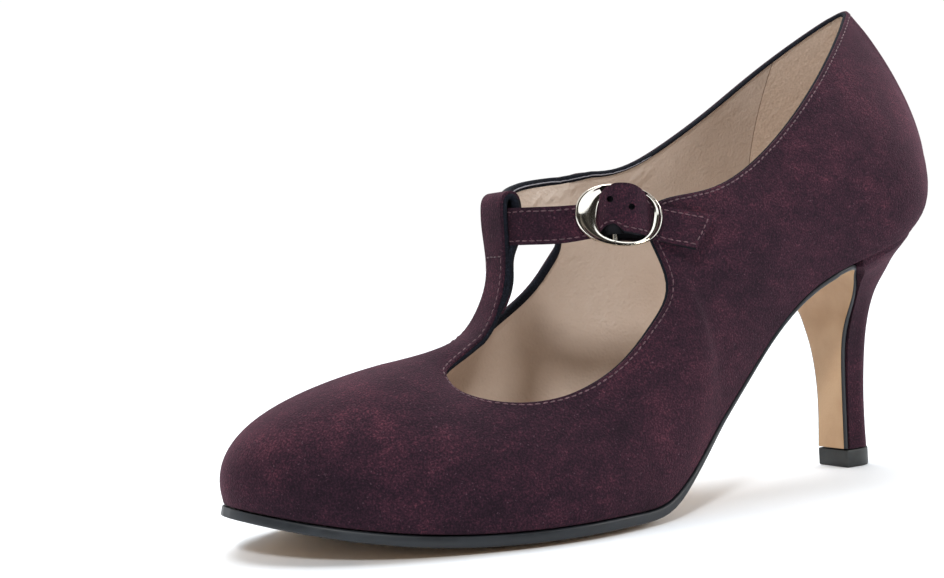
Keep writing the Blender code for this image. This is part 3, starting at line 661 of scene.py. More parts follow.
LOOP_FROM = on_last((0.0, 0.0, 67.8))[2]
seam = rim + rim_in * STITCH_IN
on_bar = (seam[:, 2] > bar_low[2]) & (np.abs(seam[:, 1] - LAST_Y) < 0.0075) & (seam[:, 0] > bar_low[0])
on_loop = on_bar & ((seam[:, 2] > LOOP_FROM) | (rim_out[:, 0] < 0.0))
first = int(np.argmax(on_loop))
seam = np.roll(seam, -first, axis=0)
on_loop = np.roll(on_loop, -first)
seam = seam[~on_loop]
bar_row = on_last([(154.0, y, 67.2) for y in np.linspace(4.0, -4.0, 12)])
topstitch = sew_on("topstitching", outer_face, [seam, bar_row])
topstitch.data.materials.append(thread)
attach(topstitch, "root")


# Outsole: one strip of sole leather under the forefoot and the shank that turns down the breast of the heel.
# The edge is trimmed, rounded and inked black; the underside keeps its natural tan.
SOLE_DOME = 0.9
SOLE_PROUD = 0.4
SOLE_ROUND = 0.45
TOE_ROWS = 40
TAN_FROM = 17
TAN_TO = 28
FLAP = np.array([
    # x, z, half width, thickness
    (56.2, 58.3, 24.0, 1.3),
    (52.1, 59.5, 23.8, 1.3),
    (47.8, 59.6, 21.7, 1.4),
    (44.2, 57.9, 18.3, 1.3),
    (41.6, 54.3, 15.6, 1.2),
    (40.0, 50.2, 13.0, 1.3),
    (39.2, 46.3, 10.6, 1.4),
    (39.0, 42.1, 8.7, 1.5),
    (38.7, 37.0, 7.1, 1.5),
    (38.3, 31.0, 6.1, 1.5),
    (38.0, 18.5, 5.4, 1.5),
    (38.4, 5.6, 5.6, 1.5),
])


def close_up(piece):
    make_active(piece)
    bpy.ops.object.mode_set(mode="EDIT")
    bpy.ops.mesh.select_all(action="SELECT")
    bpy.ops.mesh.remove_doubles(threshold=1e-7)
    bpy.ops.mesh.fill_holes(sides=0)
    bpy.ops.object.mode_set(mode="OBJECT")
    face_outwards(piece)


sole_x = TOE_X - 0.1 - (TOE_X - 58.0) * (1 - np.cos(np.linspace(0.0, math.pi / 2, 110))) ** 1.15
across = np.linspace(1.0, -1.0, 13)
sole_top = []
for x in sole_x:
    proud = SOLE_PROUD * float(np.interp(x, (70.0, 110.0), (0.0, 1.0)))
    y_outer = float(plan_y(outer_plan, x)) + proud
    y_inner = float(plan_y(inner_plan, x)) - proud
    y = 0.5 * (y_outer + y_inner) + 0.5 * (y_outer - y_inner) * across
    z = feather_height(np.full(13, x), y) - JOINT_GAP
    sole_top.append(np.column_stack((np.full(13, x + 0.3 * proud * (x > 215)), y, z)))
SOLE_THICK = np.array([
    # x, thickness at the edge
    (62.0, 1.3), (84.0, 0.85), (104.0, 1.0), (118.0, 1.4),
    (128.0, 2.3), (140.0, 2.65), (196.0, 2.6), (228.0, 2.2),
])
sole_thick = list(np.interp(sole_x, SOLE_THICK[:, 0], SOLE_THICK[:, 1]))
flap_knots = chord_knots(FLAP[:, :2])
for x, z, half, thick in fair_curve(flap_knots, FLAP, np.linspace(0.0, flap_knots[-1], 48)):
    sole_top.append(np.column_stack((np.full(13, x), half * across, np.full(13, z))))
    sole_thick.append(thick)
sole_top = np.array(sole_top)
sole_thick = np.array(sole_thick)
sole_run = np.gradient(sole_top[:, :, [0, 2]], axis=0)
sole_run /= np.linalg.norm(sole_run, axis=2)[:, :, None]
sole_down = np.stack((-sole_run[:, :, 1], np.zeros(sole_run.shape[:2]), sole_run[:, :, 0]), axis=2)
sole_rings = []
for top, down, thick in zip(sole_top, sole_down, sole_thick):
    rise = np.clip((1.0 - np.abs(across)) / 0.5, 0.0, 1.0)
    dome = SOLE_DOME * float(np.interp(top[0, 0], (128.0, 142.0, 172.0, 186.0), (0.0, 1.0, 1.0, 0.0)))
    dome = dome * rise * rise * (3.0 - 2.0 * rise)
    under = top + down * (thick + dome)[:, None]
    under[:, 2] = np.where(under[:, 0] > 128.0, np.maximum(under[:, 2], 0.0), under[:, 2])
    side = (top[0] - top[-1]) / np.linalg.norm(top[0] - top[-1])
    r = min(SOLE_ROUND, 0.2 * np.linalg.norm(top[0] - top[-1]))
    ring = []
    for at, deep in ((top, 1.0), (under, -1.0)):
        inset = at - side * np.clip(across[:, None] * 12.0 - 11.0, 0.0, 1.0) * r
        inset = inset + side * np.clip(-across[:, None] * 12.0 - 11.0, 0.0, 1.0) * r
        ends = []
        for j, sign in ((-1, 1.0), (0, -1.0)):
            fall = down[j] * deep
            ends.append([at[j] + side * sign * r * 0.29 + fall * r * 0.29, at[j] + fall * r])
        if deep > 0:
            ring.extend(list(inset) + ends[0])
            outer_top = ends[1]
        else:
            ring.extend([ends[0][1], ends[0][0]] + list(inset[::-1]) + ends[1])
    ring.extend([outer_top[1], outer_top[0], ring[0]])
    sole_rings.append(ring)
sole_rings = np.array(sole_rings)
outsole = lay_grid("outsole_leather", on_last(sole_rings))
ring_faces = sole_rings.shape[1] - 1
for face in outsole.data.polygons:
    spot = face.index % ring_faces
    ink = 1 if face.index < TOE_ROWS * ring_faces else 0
    face.material_index = 1 if TAN_FROM + ink <= spot <= TAN_TO - ink else 0
close_up(outsole)
smooth(outsole, 70)

# Sole leather: inked and burnished on the edge, sanded and waxed below.
edge_ink, tree = new_material("sole_edge_ink_black")
at = add(tree, "ShaderNodeTexCoord").outputs["Object"]
wear = add(tree, "ShaderNodeTexNoise", {"Vector": at, "Scale": per_mm(5), "Detail": 4.0}).outputs["Fac"]
tone = add(tree, "ShaderNodeValToRGB", {"Fac": wear}, stops=(
    (0.3, "#0d1116"), (0.75, "#191f26"))).outputs["Color"]
rough = add(tree, "ShaderNodeMapRange", {
    "Value": wear, "From Min": 0.3, "From Max": 0.7, "To Min": 0.38, "To Max": 0.55}).outputs[0]
shade = add(tree, "ShaderNodeBsdfPrincipled", {"Base Color": tone, "Roughness": rough, "IOR": 1.48})
add(tree, "ShaderNodeOutputMaterial", {"Surface": shade.outputs[0]})
outsole.data.materials.append(edge_ink)
sole_leather, tree = new_material("sole_leather_tan")
at = add(tree, "ShaderNodeTexCoord").outputs["Object"]
cloud = add(tree, "ShaderNodeTexNoise", {"Vector": at, "Scale": per_mm(14), "Detail": 5.0}).outputs["Fac"]
tone = add(tree, "ShaderNodeValToRGB", {"Fac": cloud}, stops=(
    (0.3, "#a3805c"), (0.7, "#b99976"))).outputs["Color"]
fibre = add(tree, "ShaderNodeTexNoise", {"Vector": at, "Scale": per_mm(0.6), "Detail": 3.0}).outputs["Fac"]
relief = add(tree, "ShaderNodeBump", {"Height": fibre, "Strength": 0.25, "Distance": 0.0003}).outputs[0]
shade = add(tree, "ShaderNodeBsdfPrincipled", {
    "Base Color": tone, "Roughness": 0.45, "Normal": relief, "IOR": 1.48})
add(tree, "ShaderNodeOutputMaterial", {"Surface": shade.outputs[0]})
outsole.data.materials.append(sole_leather)
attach(outsole, "root")
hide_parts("outsole")

# Heel: a slender moulded block covered with the suede of the upper, drawn tight and glued at the breast.
# Rings from the seat down, each with a rounded back, straight sides and a flat breast.
SEAT_GAP = 0.05
SEAT_GROOVE = (0.35, 0.1)
HEEL_MIDDLE = np.array((30.0, 0.0))
HEEL = np.array([
    # back z, front z, back x, front x, half width, where it is widest
    (71.2, 59.4, 10.4, 47.0, 23.6, 0.95),
    (68.0, 57.6, 14.1, 44.2, 21.4, 0.95),
    (64.5, 55.2, 16.4, 42.2, 18.0, 0.94),
    (60.0, 51.6, 18.9, 40.4, 14.5, 0.89),
    (54.5, 47.0, 22.6, 39.0, 11.3, 0.80),
    (47.0, 40.6, 25.4, 38.6, 8.6, 0.66),
    (36.0, 31.5, 27.0, 38.0, 6.6, 0.62),
    (20.0, 18.5, 28.0, 37.7, 5.7, 0.62),
    (5.5, 5.5, 27.9, 38.1, 5.8, 0.62),
])


def heel_plan(back, front, half, share=0.62):
    middle = back + share * (front - back)
    turn = np.linspace(-math.pi / 2, math.pi / 2, 45)
    side = np.linspace(middle, front, 9)[1:]
    breast = np.linspace(half, -half, 13)[1:-1]
    x = np.concatenate((middle - (middle - back) * np.cos(turn), side, np.full(11, front), side[::-1]))
    y = np.concatenate((half * np.sin(turn), np.full(8, half), breast, np.full(8, -half)))
    return np.append(x, x[0]), np.append(y, y[0])


heel_rings = []
heel_rows = fair_curve(np.linspace(0, 1, len(HEEL)), HEEL, np.linspace(0, 1, 73))
for back_z, front_z, back, front, half, share in heel_rows:
    x, y = heel_plan(back, front, half, share)
    z = back_z + (front_z - back_z) * (x - back) / (front - back)
    x = np.maximum(x, plan[heel_at, 0])
    y = np.clip(y, plan_y(inner_plan, x), plan_y(outer_plan, x))
    heel_rings.append(np.column_stack((x, y, z)))
heel_rings = np.array(heel_rings)
seat = feather_height(heel_rings[0][:, 0], heel_rings[0][:, 1]) - SEAT_GAP
heel_rings[0][:, 2] = seat
for i in (1, 2, 3):
    heel_rings[i][:, 2] = np.minimum(heel_rings[i][:, 2], seat - 0.4 * i)
for i, inset in enumerate(SEAT_GROOVE):
    inward = HEEL_MIDDLE - heel_rings[i][:, :2]
    heel_rings[i][:, :2] += inset * inward / np.linalg.norm(inward, axis=1)[:, None]
heel = lay_grid("heel_suede", on_last(heel_rings))
close_up(heel)
shape_with(heel, "BEVEL", width=0.0005, segments=2, limit_method="ANGLE", angle_limit=math.radians(50))
smooth(heel, 60)
heel.data.materials.append(suede)
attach(heel, "root")
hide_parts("heel")

# Top lift: the small block of hard black rubber pinned under the heel.
# A stack of the heel's own plan, drawn in at both ends where the edges are buffed round.
LIFT = 5.2
LIFT_FRONT = 39.3
LIFT_HALF = 5.9
LIFT_EDGE = (
    # how far the plan grows, height
    (-0.5, 0.0), (-0.12, 0.12), (0.0, 0.5), (0.0, LIFT - 0.3), (-0.1, LIFT - 0.08), (-0.3, LIFT),
)
lift_rings = []
for grow, z in LIFT_EDGE:
    x, y = heel_plan(LIFT_BACK - grow, LIFT_FRONT + grow, LIFT_HALF + grow)
    lift_rings.append(np.column_stack((x, y, np.full(len(x), z))))
top_lift = lay_grid("top_lift_rubber", on_last(lift_rings))
close_up(top_lift)
smooth(top_lift, 50)
# Top lift rubber: black, hard and lightly scuffed.
lift_rubber, tree = new_material("top_lift_rubber_black")
at = add(tree, "ShaderNodeTexCoord").outputs["Object"]
scuff = add(tree, "ShaderNodeTexNoise", {"Vector": at, "Scale": per_mm(2), "Detail": 4.0}).outputs["Fac"]
tone = add(tree, "ShaderNodeValToRGB", {"Fac": scuff}, stops=(
    (0.3, "#0f1213"), (0.75, "#1c2121"))).outputs["Color"]
relief = add(tree, "ShaderNodeBump", {"Height": scuff, "Strength": 0.2, "Distance": 0.0003}).outputs[0]
shade = add(tree, "ShaderNodeBsdfPrincipled", {
    "Base Color": tone, "Roughness": 0.5, "Normal": relief, "IOR": 1.52})
add(tree, "ShaderNodeOutputMaterial", {"Surface": shade.outputs[0]})
top_lift.data.materials.append(lift_rubber)
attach(top_lift, "root")
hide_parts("top_lift")

# Instep strap: suede backed with beige lining, growing out of the inner quarter, passing through the T-bar's
# loop and over the buckle's bar, and ending in a slanted tab. A grid along its path, thickened inwards.
STRAP = 2.0
STRAP_FACE = 1.15
STRAP_SLANT = 7.5
STRAP_UNDER = -0.8
STRAP_OVER = 5.0
TAB_LIFT = 1.1
TAB_LEAN = 1.3
PUNCHED = ((-2.0, 4.0), (3.2, 1.8))
PUNCH_RADIUS = 0.00085
STRAP_PATH = np.array([
    # x, y, middle height, half width
    (116.3, -23.4, 82.5, 6.5),
    (124.0, -22.8, 82.4, 5.9),
    (131.2, -20.4, 81.6, 5.7),
    (138.6, -15.3, 79.9, 5.4),
    (145.0, -9.4, 77.4, 4.95),
    (149.7, -4.5, 75.6, 4.75),
    (150.2, 0.0, 75.0, 4.75),
    (149.5, 4.5, 74.7, 4.75),
    (146.2, 9.7, 74.5, 4.75),
    (141.0, 14.2, 74.4, 4.7),
    (135.2, 18.6, 74.9, 4.4),
    (128.5, 23.6, 75.1, 4.1),
    (121.5, 28.2, 73.6, 4.45),
    (114.0, 30.1, 71.6, 4.75),
    (105.6, 31.1, 70.0, 4.75),
])
BUCKLE_AT = np.array((129.5, 22.9, 75.9))
BUCKLE_ALONG = np.array((-0.825, 0.565, 0.0))
BUCKLE_OUT = np.array((0.565, 0.825, 0.0))
strap_knots = chord_knots(STRAP_PATH[:, :2])


def by_buckle(along, out, high):
    return BUCKLE_AT + BUCKLE_ALONG * along + BUCKLE_OUT * out + np.array((0.0, 0.0, high))


def strap_face(w, away):
    """Points along the strap at the height w (-1 to 1), away millimetres outside its middle."""
    end = strap_knots[-1] - STRAP_SLANT * (1.0 - w) / 2
    at = np.concatenate((
        np.linspace(-3.0, strap_knots[10] - 4.0, 62, endpoint=False),
        np.linspace(strap_knots[10] - 4.0, strap_knots[12] + 4.0, 90, endpoint=False),
        np.linspace(strap_knots[12] + 4.0, end, 24),
    ))
    band = fair_curve(strap_knots, STRAP_PATH, at)
    run = np.gradient(band[:, :2], at, axis=0)
    run /= np.linalg.norm(run, axis=1)[:, None]
    beside = (band[:, :2] - BUCKLE_AT[:2]) @ BUCKLE_ALONG[:2]
    lift = np.interp(
        beside,
        (-15.0, -11.4, -5.2, -2.0, 1.6, 4.4, 7.6, 11.4, 15.0),
        (0.0, STRAP_UNDER, STRAP_UNDER, 4.4, STRAP_OVER, 4.4, STRAP_UNDER, STRAP_UNDER, 0.0),
    )
    swell = np.interp(beside, (-4.6, -3.0, -0.6, 3.4, 5.6, 7.2), (0.0, 0.66, 1.0, 1.0, 0.66, 0.0))
    for _ in range(14):
        lift = np.convolve(np.pad(lift, 1, mode="edge"), (0.25, 0.5, 0.25), mode="valid")
        swell = np.convolve(np.pad(swell, 1, mode="edge"), (0.25, 0.5, 0.25), mode="valid")
    lift = lift - swell * (0.5 if w > 0 else 1.8) * w * w
    free = np.clip((at - strap_knots[12]) / (end - strap_knots[12]), 0.0, 1.0)
    lift += TAB_LIFT * free ** 2 - TAB_LEAN * w * np.sqrt(free)
    high = band[:, 2] + swell * 2.0 + (band[:, 3] + swell * (2.6 if w > 0 else 1.0)) * w
    high += swell * max(0.0, -w) * np.interp(beside, (-4.0, -1.0, 1.5, 5.0), (3.0, 2.0, -0.2, -0.6))
    centre = band[:, :2] + np.column_stack((run[:, 1], -run[:, 0])) * lift[:, None]
    run = np.gradient(centre, at, axis=0)
    run /= np.linalg.norm(run, axis=1)[:, None]
    spot = centre + np.column_stack((run[:, 1], -run[:, 0])) * away
    return np.column_stack((spot, high))


strap_heights = np.linspace(1.0, -1.0, 13)
front = np.stack([strap_face(w, 0.5 * STRAP) for w in strap_heights], axis=1)
strap = lay_grid("strap_suede", on_last(front))
by_loop = 12 * 75 + 6
if Vector((1.0, 1.0, 0.0)).dot(strap.data.polygons[by_loop].normal) < 0:
    strap.data.flip_normals()
strap_front = bmesh.new()
strap_front.from_mesh(strap.data)
strap_skin = BVHTree.FromBMesh(strap_front)
shape_with(strap, "SOLIDIFY", thickness=STRAP_FACE * GRADE * 0.001, offset=-1.0, use_even_offset=True)
shape_with(strap, "BEVEL", width=0.0003, segments=2, limit_method="ANGLE", angle_limit=math.radians(55))
for along, high in PUNCHED:
    spot = on_last(by_buckle(along, 5.5, high))
    bpy.ops.object.select_all(action="DESELECT")
    bpy.ops.mesh.primitive_cylinder_add(vertices=20, radius=PUNCH_RADIUS, depth=0.006, location=spot)
    punch = bpy.context.object
    punch.rotation_euler = Vector(BUCKLE_OUT).to_track_quat("Z", "Y").to_euler()
    shape_with(strap, "BOOLEAN", operation="DIFFERENCE", solver="EXACT", object=punch)
    bpy.data.objects.remove(punch)
smooth(strap, 60)
strap.data.materials.append(suede)
strap.data.materials.append(black_calf)
for face in strap.data.polygons:
    _, front_out, _, _ = strap_skin.find_nearest(face.center)
    face.material_index = 1 if face.normal.dot(front_out) < 0.3 else 0
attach(strap, "root")
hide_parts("strap")

# Strap lining: a band of the beige calf cemented behind the strap's suede, its edges inked black.
# The same path set inside the suede, creased where the strap is pulled round the foot.
STRAP_BACK = -0.43 * STRAP
STRAP_CALF = 0.0006
back = np.stack([strap_face(w, STRAP_BACK) for w in strap_heights], axis=1)
strap_lining = lay_grid("strap_lining", on_last(back))
if Vector((1.0, 1.0, 0.0)).dot(strap_lining.data.polygons[by_loop].normal) > 0:
    strap_lining.data.flip_normals()
shape_with(strap_lining, "SOLIDIFY", thickness=STRAP_CALF, offset=-1.0)
smooth(strap_lining, 60)
STRAP_FOLDS = (
    ((113.0, -23.0, 86.5), (118.6, -22.4, 82.0), 1.7),
    ((117.2, -22.3, 85.1), (122.2, -22.2, 81.6), 1.4),
    ((122.6, -22.3, 84.9), (127.4, -22.2, 80.6), 1.6),
)
strap_calf = lining_leather("strap_lining_beige", "#cbbaac", "#baa899", 0.1, STRAP_FOLDS)
strap_lining.data.materials.append(strap_calf)
strap_lining.data.materials.append(black_calf)
for face in strap_lining.data.polygons:
    _, front_out, _, _ = strap_skin.find_nearest(face.center)
    face.material_index = 1 if abs(face.normal.z) > 0.7 or face.normal.dot(front_out) > 0.3 else 0
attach(strap_lining, "root")

# Strap stitching: the same thread along both edges and round the tab's slanted end.
# The upper row stops where the strap swells through the ring.
STITCH_ROW = 0.78
high_row = strap_face(STITCH_ROW, 0.5 * STRAP)
low_row = strap_face(-STITCH_ROW, 0.5 * STRAP)
past = (high_row[:, :2] - BUCKLE_AT[:2]) @ BUCKLE_ALONG[:2]
tab = [strap_face(w, 0.5 * STRAP)[-4] for w in np.linspace(STITCH_ROW, -STITCH_ROW, 9)]
rows = (high_row[past < -4.0], high_row[past > 7.0][:-4], low_row[:-4], tab)
lines = [on_last(row) for row in rows]
strap_stitch = sew_on("strap_stitching", strap_skin, lines)
strap_stitch.data.materials.append(thread)
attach(strap_stitch, "root")

# Edge binding: a navy-black tape turned over the cut edge to the inside, at most two millimetres broad.
# It runs round the whole rim and out along both edges of the strap as far as the loop, as one sweep of its
# section: along the wall from the edge, and into the wall.
BINDING = np.array([
    # along, deep (millimetres)
    (0.20, 0.82), (-0.10, 0.80), (-0.30, 1.15), (-0.26, 1.80), (0.10, 2.18), (1.20, 2.28),
    (2.20, 2.22), (2.55, 1.90), (2.20, 1.66), (0.80, 1.62), (0.22, 1.40),
])
strap_top = on_last(strap_face(1.0, 0.5 * STRAP))
strap_low = on_last(strap_face(-1.0, 0.5 * STRAP))
to_loop = int(np.argmin(np.linalg.norm(strap_top - on_last((145.0, -9.4, 81.7)), axis=1)))
bind_top = strap_top[3:to_loop]
bind_low = strap_low[3:to_loop]
strap_run = np.gradient(strap_top, axis=0)[3:to_loop]
strap_run /= np.linalg.norm(strap_run, axis=1)[:, None]
strap_out = np.column_stack((strap_run[:, 1], -strap_run[:, 0], np.zeros(len(strap_run))))
upward = np.tile((0.0, 0.0, 1.0), (len(strap_run), 1))
at_top = int(np.argmin(np.linalg.norm(rim - strap_top[3], axis=1)))
at_low = int(np.argmin(np.linalg.norm(rim - strap_low[3], axis=1)))
order = np.arange(len(rim))
if (at_low - at_top) % len(rim) < len(rim) // 2:
    order = order[::-1]
    at_top = len(rim) - 1 - at_top
    at_low = len(rim) - 1 - at_low
order = np.roll(order, -at_top)[:(at_low - at_top) % len(rim) + 1]
order = order[5:-5]
path = np.concatenate((bind_top[::-1], rim[order], bind_low))
path_in = np.concatenate((-upward, rim_in[order], upward))
path_out = np.concatenate((strap_out[::-1], rim_out[order], strap_out))
for _ in range(6):
    path_in[1:-1] = 0.5 * path_in[1:-1] + 0.25 * path_in[:-2] + 0.25 * path_in[2:]
    path_out[1:-1] = 0.5 * path_out[1:-1] + 0.25 * path_out[:-2] + 0.25 * path_out[2:]
path_in /= np.linalg.norm(path_in, axis=1)[:, None]
path_out /= np.linalg.norm(path_out, axis=1)[:, None]
width_at = on_last([(70.0, 0.0, 0.0), (95.0, 0.0, 0.0), (116.0, 0.0, 0.0)])[:, 0]
path_width = np.interp(path[:, 0], width_at, (0.22, 0.45, 0.8))
tape_rings = []
for along, deep in BINDING:
    reach = along * path_width if along > 0.3 else np.full(len(path), along)
    tape_rings.append(path + path_in * reach[:, None] * 0.001 - path_out * deep * 0.001)
tape_rings.append(tape_rings[0])
binding = lay_grid("edge_binding", np.array(tape_rings))
close_up(binding)
smooth(binding)
# Binding tape: a fine navy-black weave, quite matt.
tape, tree = new_material("binding_tape_black")
at = add(tree, "ShaderNodeTexCoord").outputs["Object"]
rib = add(tree, "ShaderNodeTexNoise", {"Vector": at, "Scale": per_mm(0.5), "Detail": 2.0}).outputs["Fac"]
tone = add(tree, "ShaderNodeValToRGB", {"Fac": rib}, stops=(
    (0.3, "#0a0c12"), (0.62, "#151821"), (0.78, "#282d38"))).outputs["Color"]
relief = add(tree, "ShaderNodeBump", {"Height": rib, "Strength": 0.6, "Distance": 0.0003}).outputs[0]
shade = add(tree, "ShaderNodeBsdfPrincipled", {
    "Base Color": tone, "Roughness": 0.85, "Normal": relief, "Specular IOR Level": 0.12})
add(tree, "ShaderNodeOutputMaterial", {"Surface": shade.outputs[0]})
binding.data.materials.append(tape)
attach(binding, "root")

# Binding stitches: pale thread that holds the tape's inner edge to the lining.
# Short beads in one row, seen along the inner quarter and the strap.
BIND_LONG = 0.0010
BIND_THICK = 0.00028
BIND_IN = 1.3
BIND_DEEP = 0.00226
near = (path[:, 1] < on_last((0.0, -8.0, 0.0))[1]) & (path[:, 2] > on_last((0.0, 0.0, 80.0))[2])
near &= path[:, 0] > on_last((84.0, 0.0, 0.0))[0]
line = (path + path_in * (BIND_IN * path_width)[:, None] * 0.001 - path_out * BIND_DEEP)[near]
line_out = -path_out[near]
spots = every(np.hstack((line, line_out)), STITCH_PITCH)
runs = np.gradient(spots[:, :3], axis=0)
runs /= np.linalg.norm(runs, axis=1)[:, None]
bind_stitch = sew("binding_stitching", spots[:, :3], runs, spots[:, 3:], BIND_LONG, BIND_THICK)
# Grey polyester thread, plain.
pale, tree = new_material("polyester_thread_grey")
shade = add(tree, "ShaderNodeBsdfPrincipled", {"Base Color": linear("#8c8c95"), "Roughness": 0.6})
add(tree, "ShaderNodeOutputMaterial", {"Surface": shade.outputs[0]})
bind_stitch.data.materials.append(pale)
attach(bind_stitch, "root")


# Buckle: a die-cast oval ring, polished and nickel-plated, broad and dished at its front end, with a bar
# across the hole. A section of two rims and a dish is carried round the oval.
BUCKLE_LONG = 10.9
BUCKLE_HIGH = 7.7
HOLE_LONG = 6.95
HOLE_HIGH = 6.3
HOLE_SHIFT = 1.65
BUCKLE_LOW = 0.6
BUCKLE_TOP = 2.6
BAR_RADIUS = 0.7
BAR_ALONG = -1.2
BAR_OUT = 1.3
BUCKLE_TILT = math.radians(11)
BUCKLE_DISH = 1.0
DISH_BROAD = 5.6
DISH_HALF = 6.6
OUTER_POWER = 0.9
HOLE_POWER = 0.78
BUCKLE_SECTION = (
    # share of the way in from the outer oval, share of the height
    (0.0, 0.0), (0.0, 0.45), (0.03, 0.75), (0.09, 0.94), (0.17, 1.0), (0.25, 0.95),
    (0.33, 0.84), (0.45, 0.74), (0.58, 0.68), (0.72, 0.66), (0.84, 0.70), (0.90, 0.70),
    (0.96, 0.58), (1.0, 0.36), (1.0, 0.0), (0.5, 0.0),
)
buckle_rings = []
for turn in np.linspace(0.0, 2 * math.pi, 121):
    c = math.cos(turn)
    s = math.sin(turn)
    outer_x = BUCKLE_LONG * math.copysign(abs(c) ** OUTER_POWER, c)
    outer_y = BUCKLE_HIGH * math.copysign(abs(s) ** OUTER_POWER, s)
    inner_x = HOLE_SHIFT + HOLE_LONG * math.copysign(abs(c) ** HOLE_POWER, c)
    inner_y = HOLE_HIGH * math.copysign(abs(s) ** HOLE_POWER, s)
    ring = []
    for w, n in BUCKLE_SECTION + BUCKLE_SECTION[:1]:
        along = outer_x + (inner_x - outer_x) * w
        high = outer_y + (inner_y - outer_y) * w
        tilted = along * math.cos(BUCKLE_TILT) + high * math.sin(BUCKLE_TILT)
        raised = high * math.cos(BUCKLE_TILT) - along * math.sin(BUCKLE_TILT)
        broad = min(1.0, math.hypot(inner_x - outer_x, inner_y - outer_y) / DISH_BROAD)
        dish = BUCKLE_DISH * broad * n * math.sin(math.pi * w) * max(0.0, 1.0 - (high / DISH_HALF) ** 2)
        ring.append(by_buckle(tilted, BUCKLE_LOW + (BUCKLE_TOP - BUCKLE_LOW) * n - dish, raised))
    buckle_rings.append(ring)
buckle = lay_grid("buckle_ring", on_last(buckle_rings))
close_up(buckle)
smooth(buckle, 60)
# Nickel plate: bright, with faint polishing swirls.
nickel, tree = new_material("nickel_plate_polished")
at = add(tree, "ShaderNodeTexCoord").outputs["Object"]
swirl = add(tree, "ShaderNodeTexNoise", {"Vector": at, "Scale": per_mm(6), "Detail": 2.0}).outputs["Fac"]
rough = add(tree, "ShaderNodeMapRange", {
    "Value": swirl, "From Min": 0.3, "From Max": 0.7, "To Min": 0.05, "To Max": 0.12}).outputs[0]
shade = add(tree, "ShaderNodeBsdfPrincipled", {
    "Base Color": linear("#d9d3c8"), "Metallic": 1.0, "Roughness": rough})
add(tree, "ShaderNodeOutputMaterial", {"Surface": shade.outputs[0]})
buckle.data.materials.append(nickel)
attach(buckle, "root")
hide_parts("buckle")

# Buckle bar: the upright rod of the same metal, cast with the ring, that the elastic hooks round.
# A plain round bar whose ends run into the ring.
bar_reach = HOLE_HIGH + 0.6
bar_rings = []
for high in np.linspace(-bar_reach, bar_reach, 9):
    bar_rings.append([
        by_buckle(BAR_ALONG + BAR_RADIUS * math.cos(a), BAR_OUT + BAR_RADIUS * math.sin(a), high)
        for a in np.linspace(0.0, 2 * math.pi, 17)
    ])
bar = lay_grid("buckle_bar", on_last(bar_rings))
close_up(bar)
smooth(bar, 60)
bar.data.materials.append(nickel)
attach(bar, "root")

# Chape: a tab of black ribbed elastic sewn to the edge of the outer quarter and hooked round the bar.
# A strip along the hook's curve, thickened to the weave.
CHAPE = 1.0
CHAPE_HALF = 4.2
CHAPE_DROP = -0.5
hook = [(7.9, -2.9), (6.6, -2.9), (5.2, -2.6), (4.0, -1.4), (3.2, 0.0)]
reach = BAR_RADIUS + JOINT_GAP + CHAPE / 2
for a in np.radians((0.0, 35.0, 70.0, 105.0, 140.0, 175.0, 210.0, 240.0)):
    hook.append((BAR_ALONG + reach * math.cos(a), BAR_OUT + reach * math.sin(a)))
hook = np.array(hook)
hook = fair_curve(chord_knots(hook), hook, np.linspace(0.0, chord_knots(hook)[-1], 60))
rows = []
for h in np.linspace(CHAPE_HALF, -CHAPE_HALF, 25):
    rows.append([by_buckle(s, n, CHAPE_DROP + h) for s, n in hook])
chape = lay_grid("chape_elastic", on_last(rows))
shape_with(chape, "SOLIDIFY", thickness=0.97 * CHAPE * GRADE * 0.001, offset=0.0, use_even_offset=True)
shape_with(chape, "BEVEL", width=0.0002, segments=2, limit_method="ANGLE", angle_limit=math.radians(55))
smooth(chape, 60)
# Ribbed elastic: black, matt, with fine level ribs.
elastic, tree = new_material("ribbed_elastic_black")
at = add(tree, "ShaderNodeTexCoord").outputs["Object"]
rib = add(tree, "ShaderNodeTexWave", {
    "Vector": at, "Scale": per_mm(0.9) / 20, "Distortion": 0.4}, bands_direction="Z").outputs["Fac"]
tone = add(tree, "ShaderNodeValToRGB", {"Fac": rib}, stops=(
    (0.1, "#07070a"), (0.9, "#141418"))).outputs["Color"]
relief = add(tree, "ShaderNodeBump", {"Height": rib, "Strength": 0.6, "Distance": 0.0003}).outputs[0]
shade = add(tree, "ShaderNodeBsdfPrincipled", {
    "Base Color": tone, "Roughness": 0.8, "Normal": relief, "Specular IOR Level": 0.12})
add(tree, "ShaderNodeOutputMaterial", {"Surface": shade.outputs[0]})
chape.data.materials.append(elastic)
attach(chape, "root")
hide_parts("chape")

# Painted shade: a dark sheet of the black elastic set flat behind the ring below the strap, standing in for
# the shade in the ring's lower gap. A small bowed grid, taller towards the quarter.
GAP_SHADE_THICK = 0.0008
rows = []
for deep in np.linspace(0.0, 1.0, 9):
    rows.append([
        by_buckle(s, -0.5 + 0.02 * s * s, -2.6 - (3.8 + 0.11 * s) * deep)
        for s in np.linspace(-4.6, 7.0, 25)
    ])
gap_shade_sheet = lay_grid("gap_shade_sheet", on_last(rows))
shape_with(gap_shade_sheet, "SOLIDIFY", thickness=GAP_SHADE_THICK, offset=0.0)
smooth(gap_shade_sheet, 60)
gap_shade_sheet.data.materials.append(elastic)
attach(gap_shade_sheet, "root")

# Studio: a flat white paper floor in a pale surround that is darkest behind the camera.
# A very soft light overhead, a small fill beside the camera and a weak light from the heel's side.
bpy.ops.object.select_all(action="DESELECT")
bpy.ops.mesh.primitive_plane_add(size=60.0)
floor = bpy.context.object
floor.name = "paper_sweep"
# White paper: dull and a little cool.
paper, tree = new_material("white_paper")
shade = add(tree, "ShaderNodeBsdfPrincipled", {"Base Color": linear("#ebf0f5"), "Roughness": 0.9})
add(tree, "ShaderNodeOutputMaterial", {"Surface": shade.outputs[0]})
floor.data.materials.append(paper)

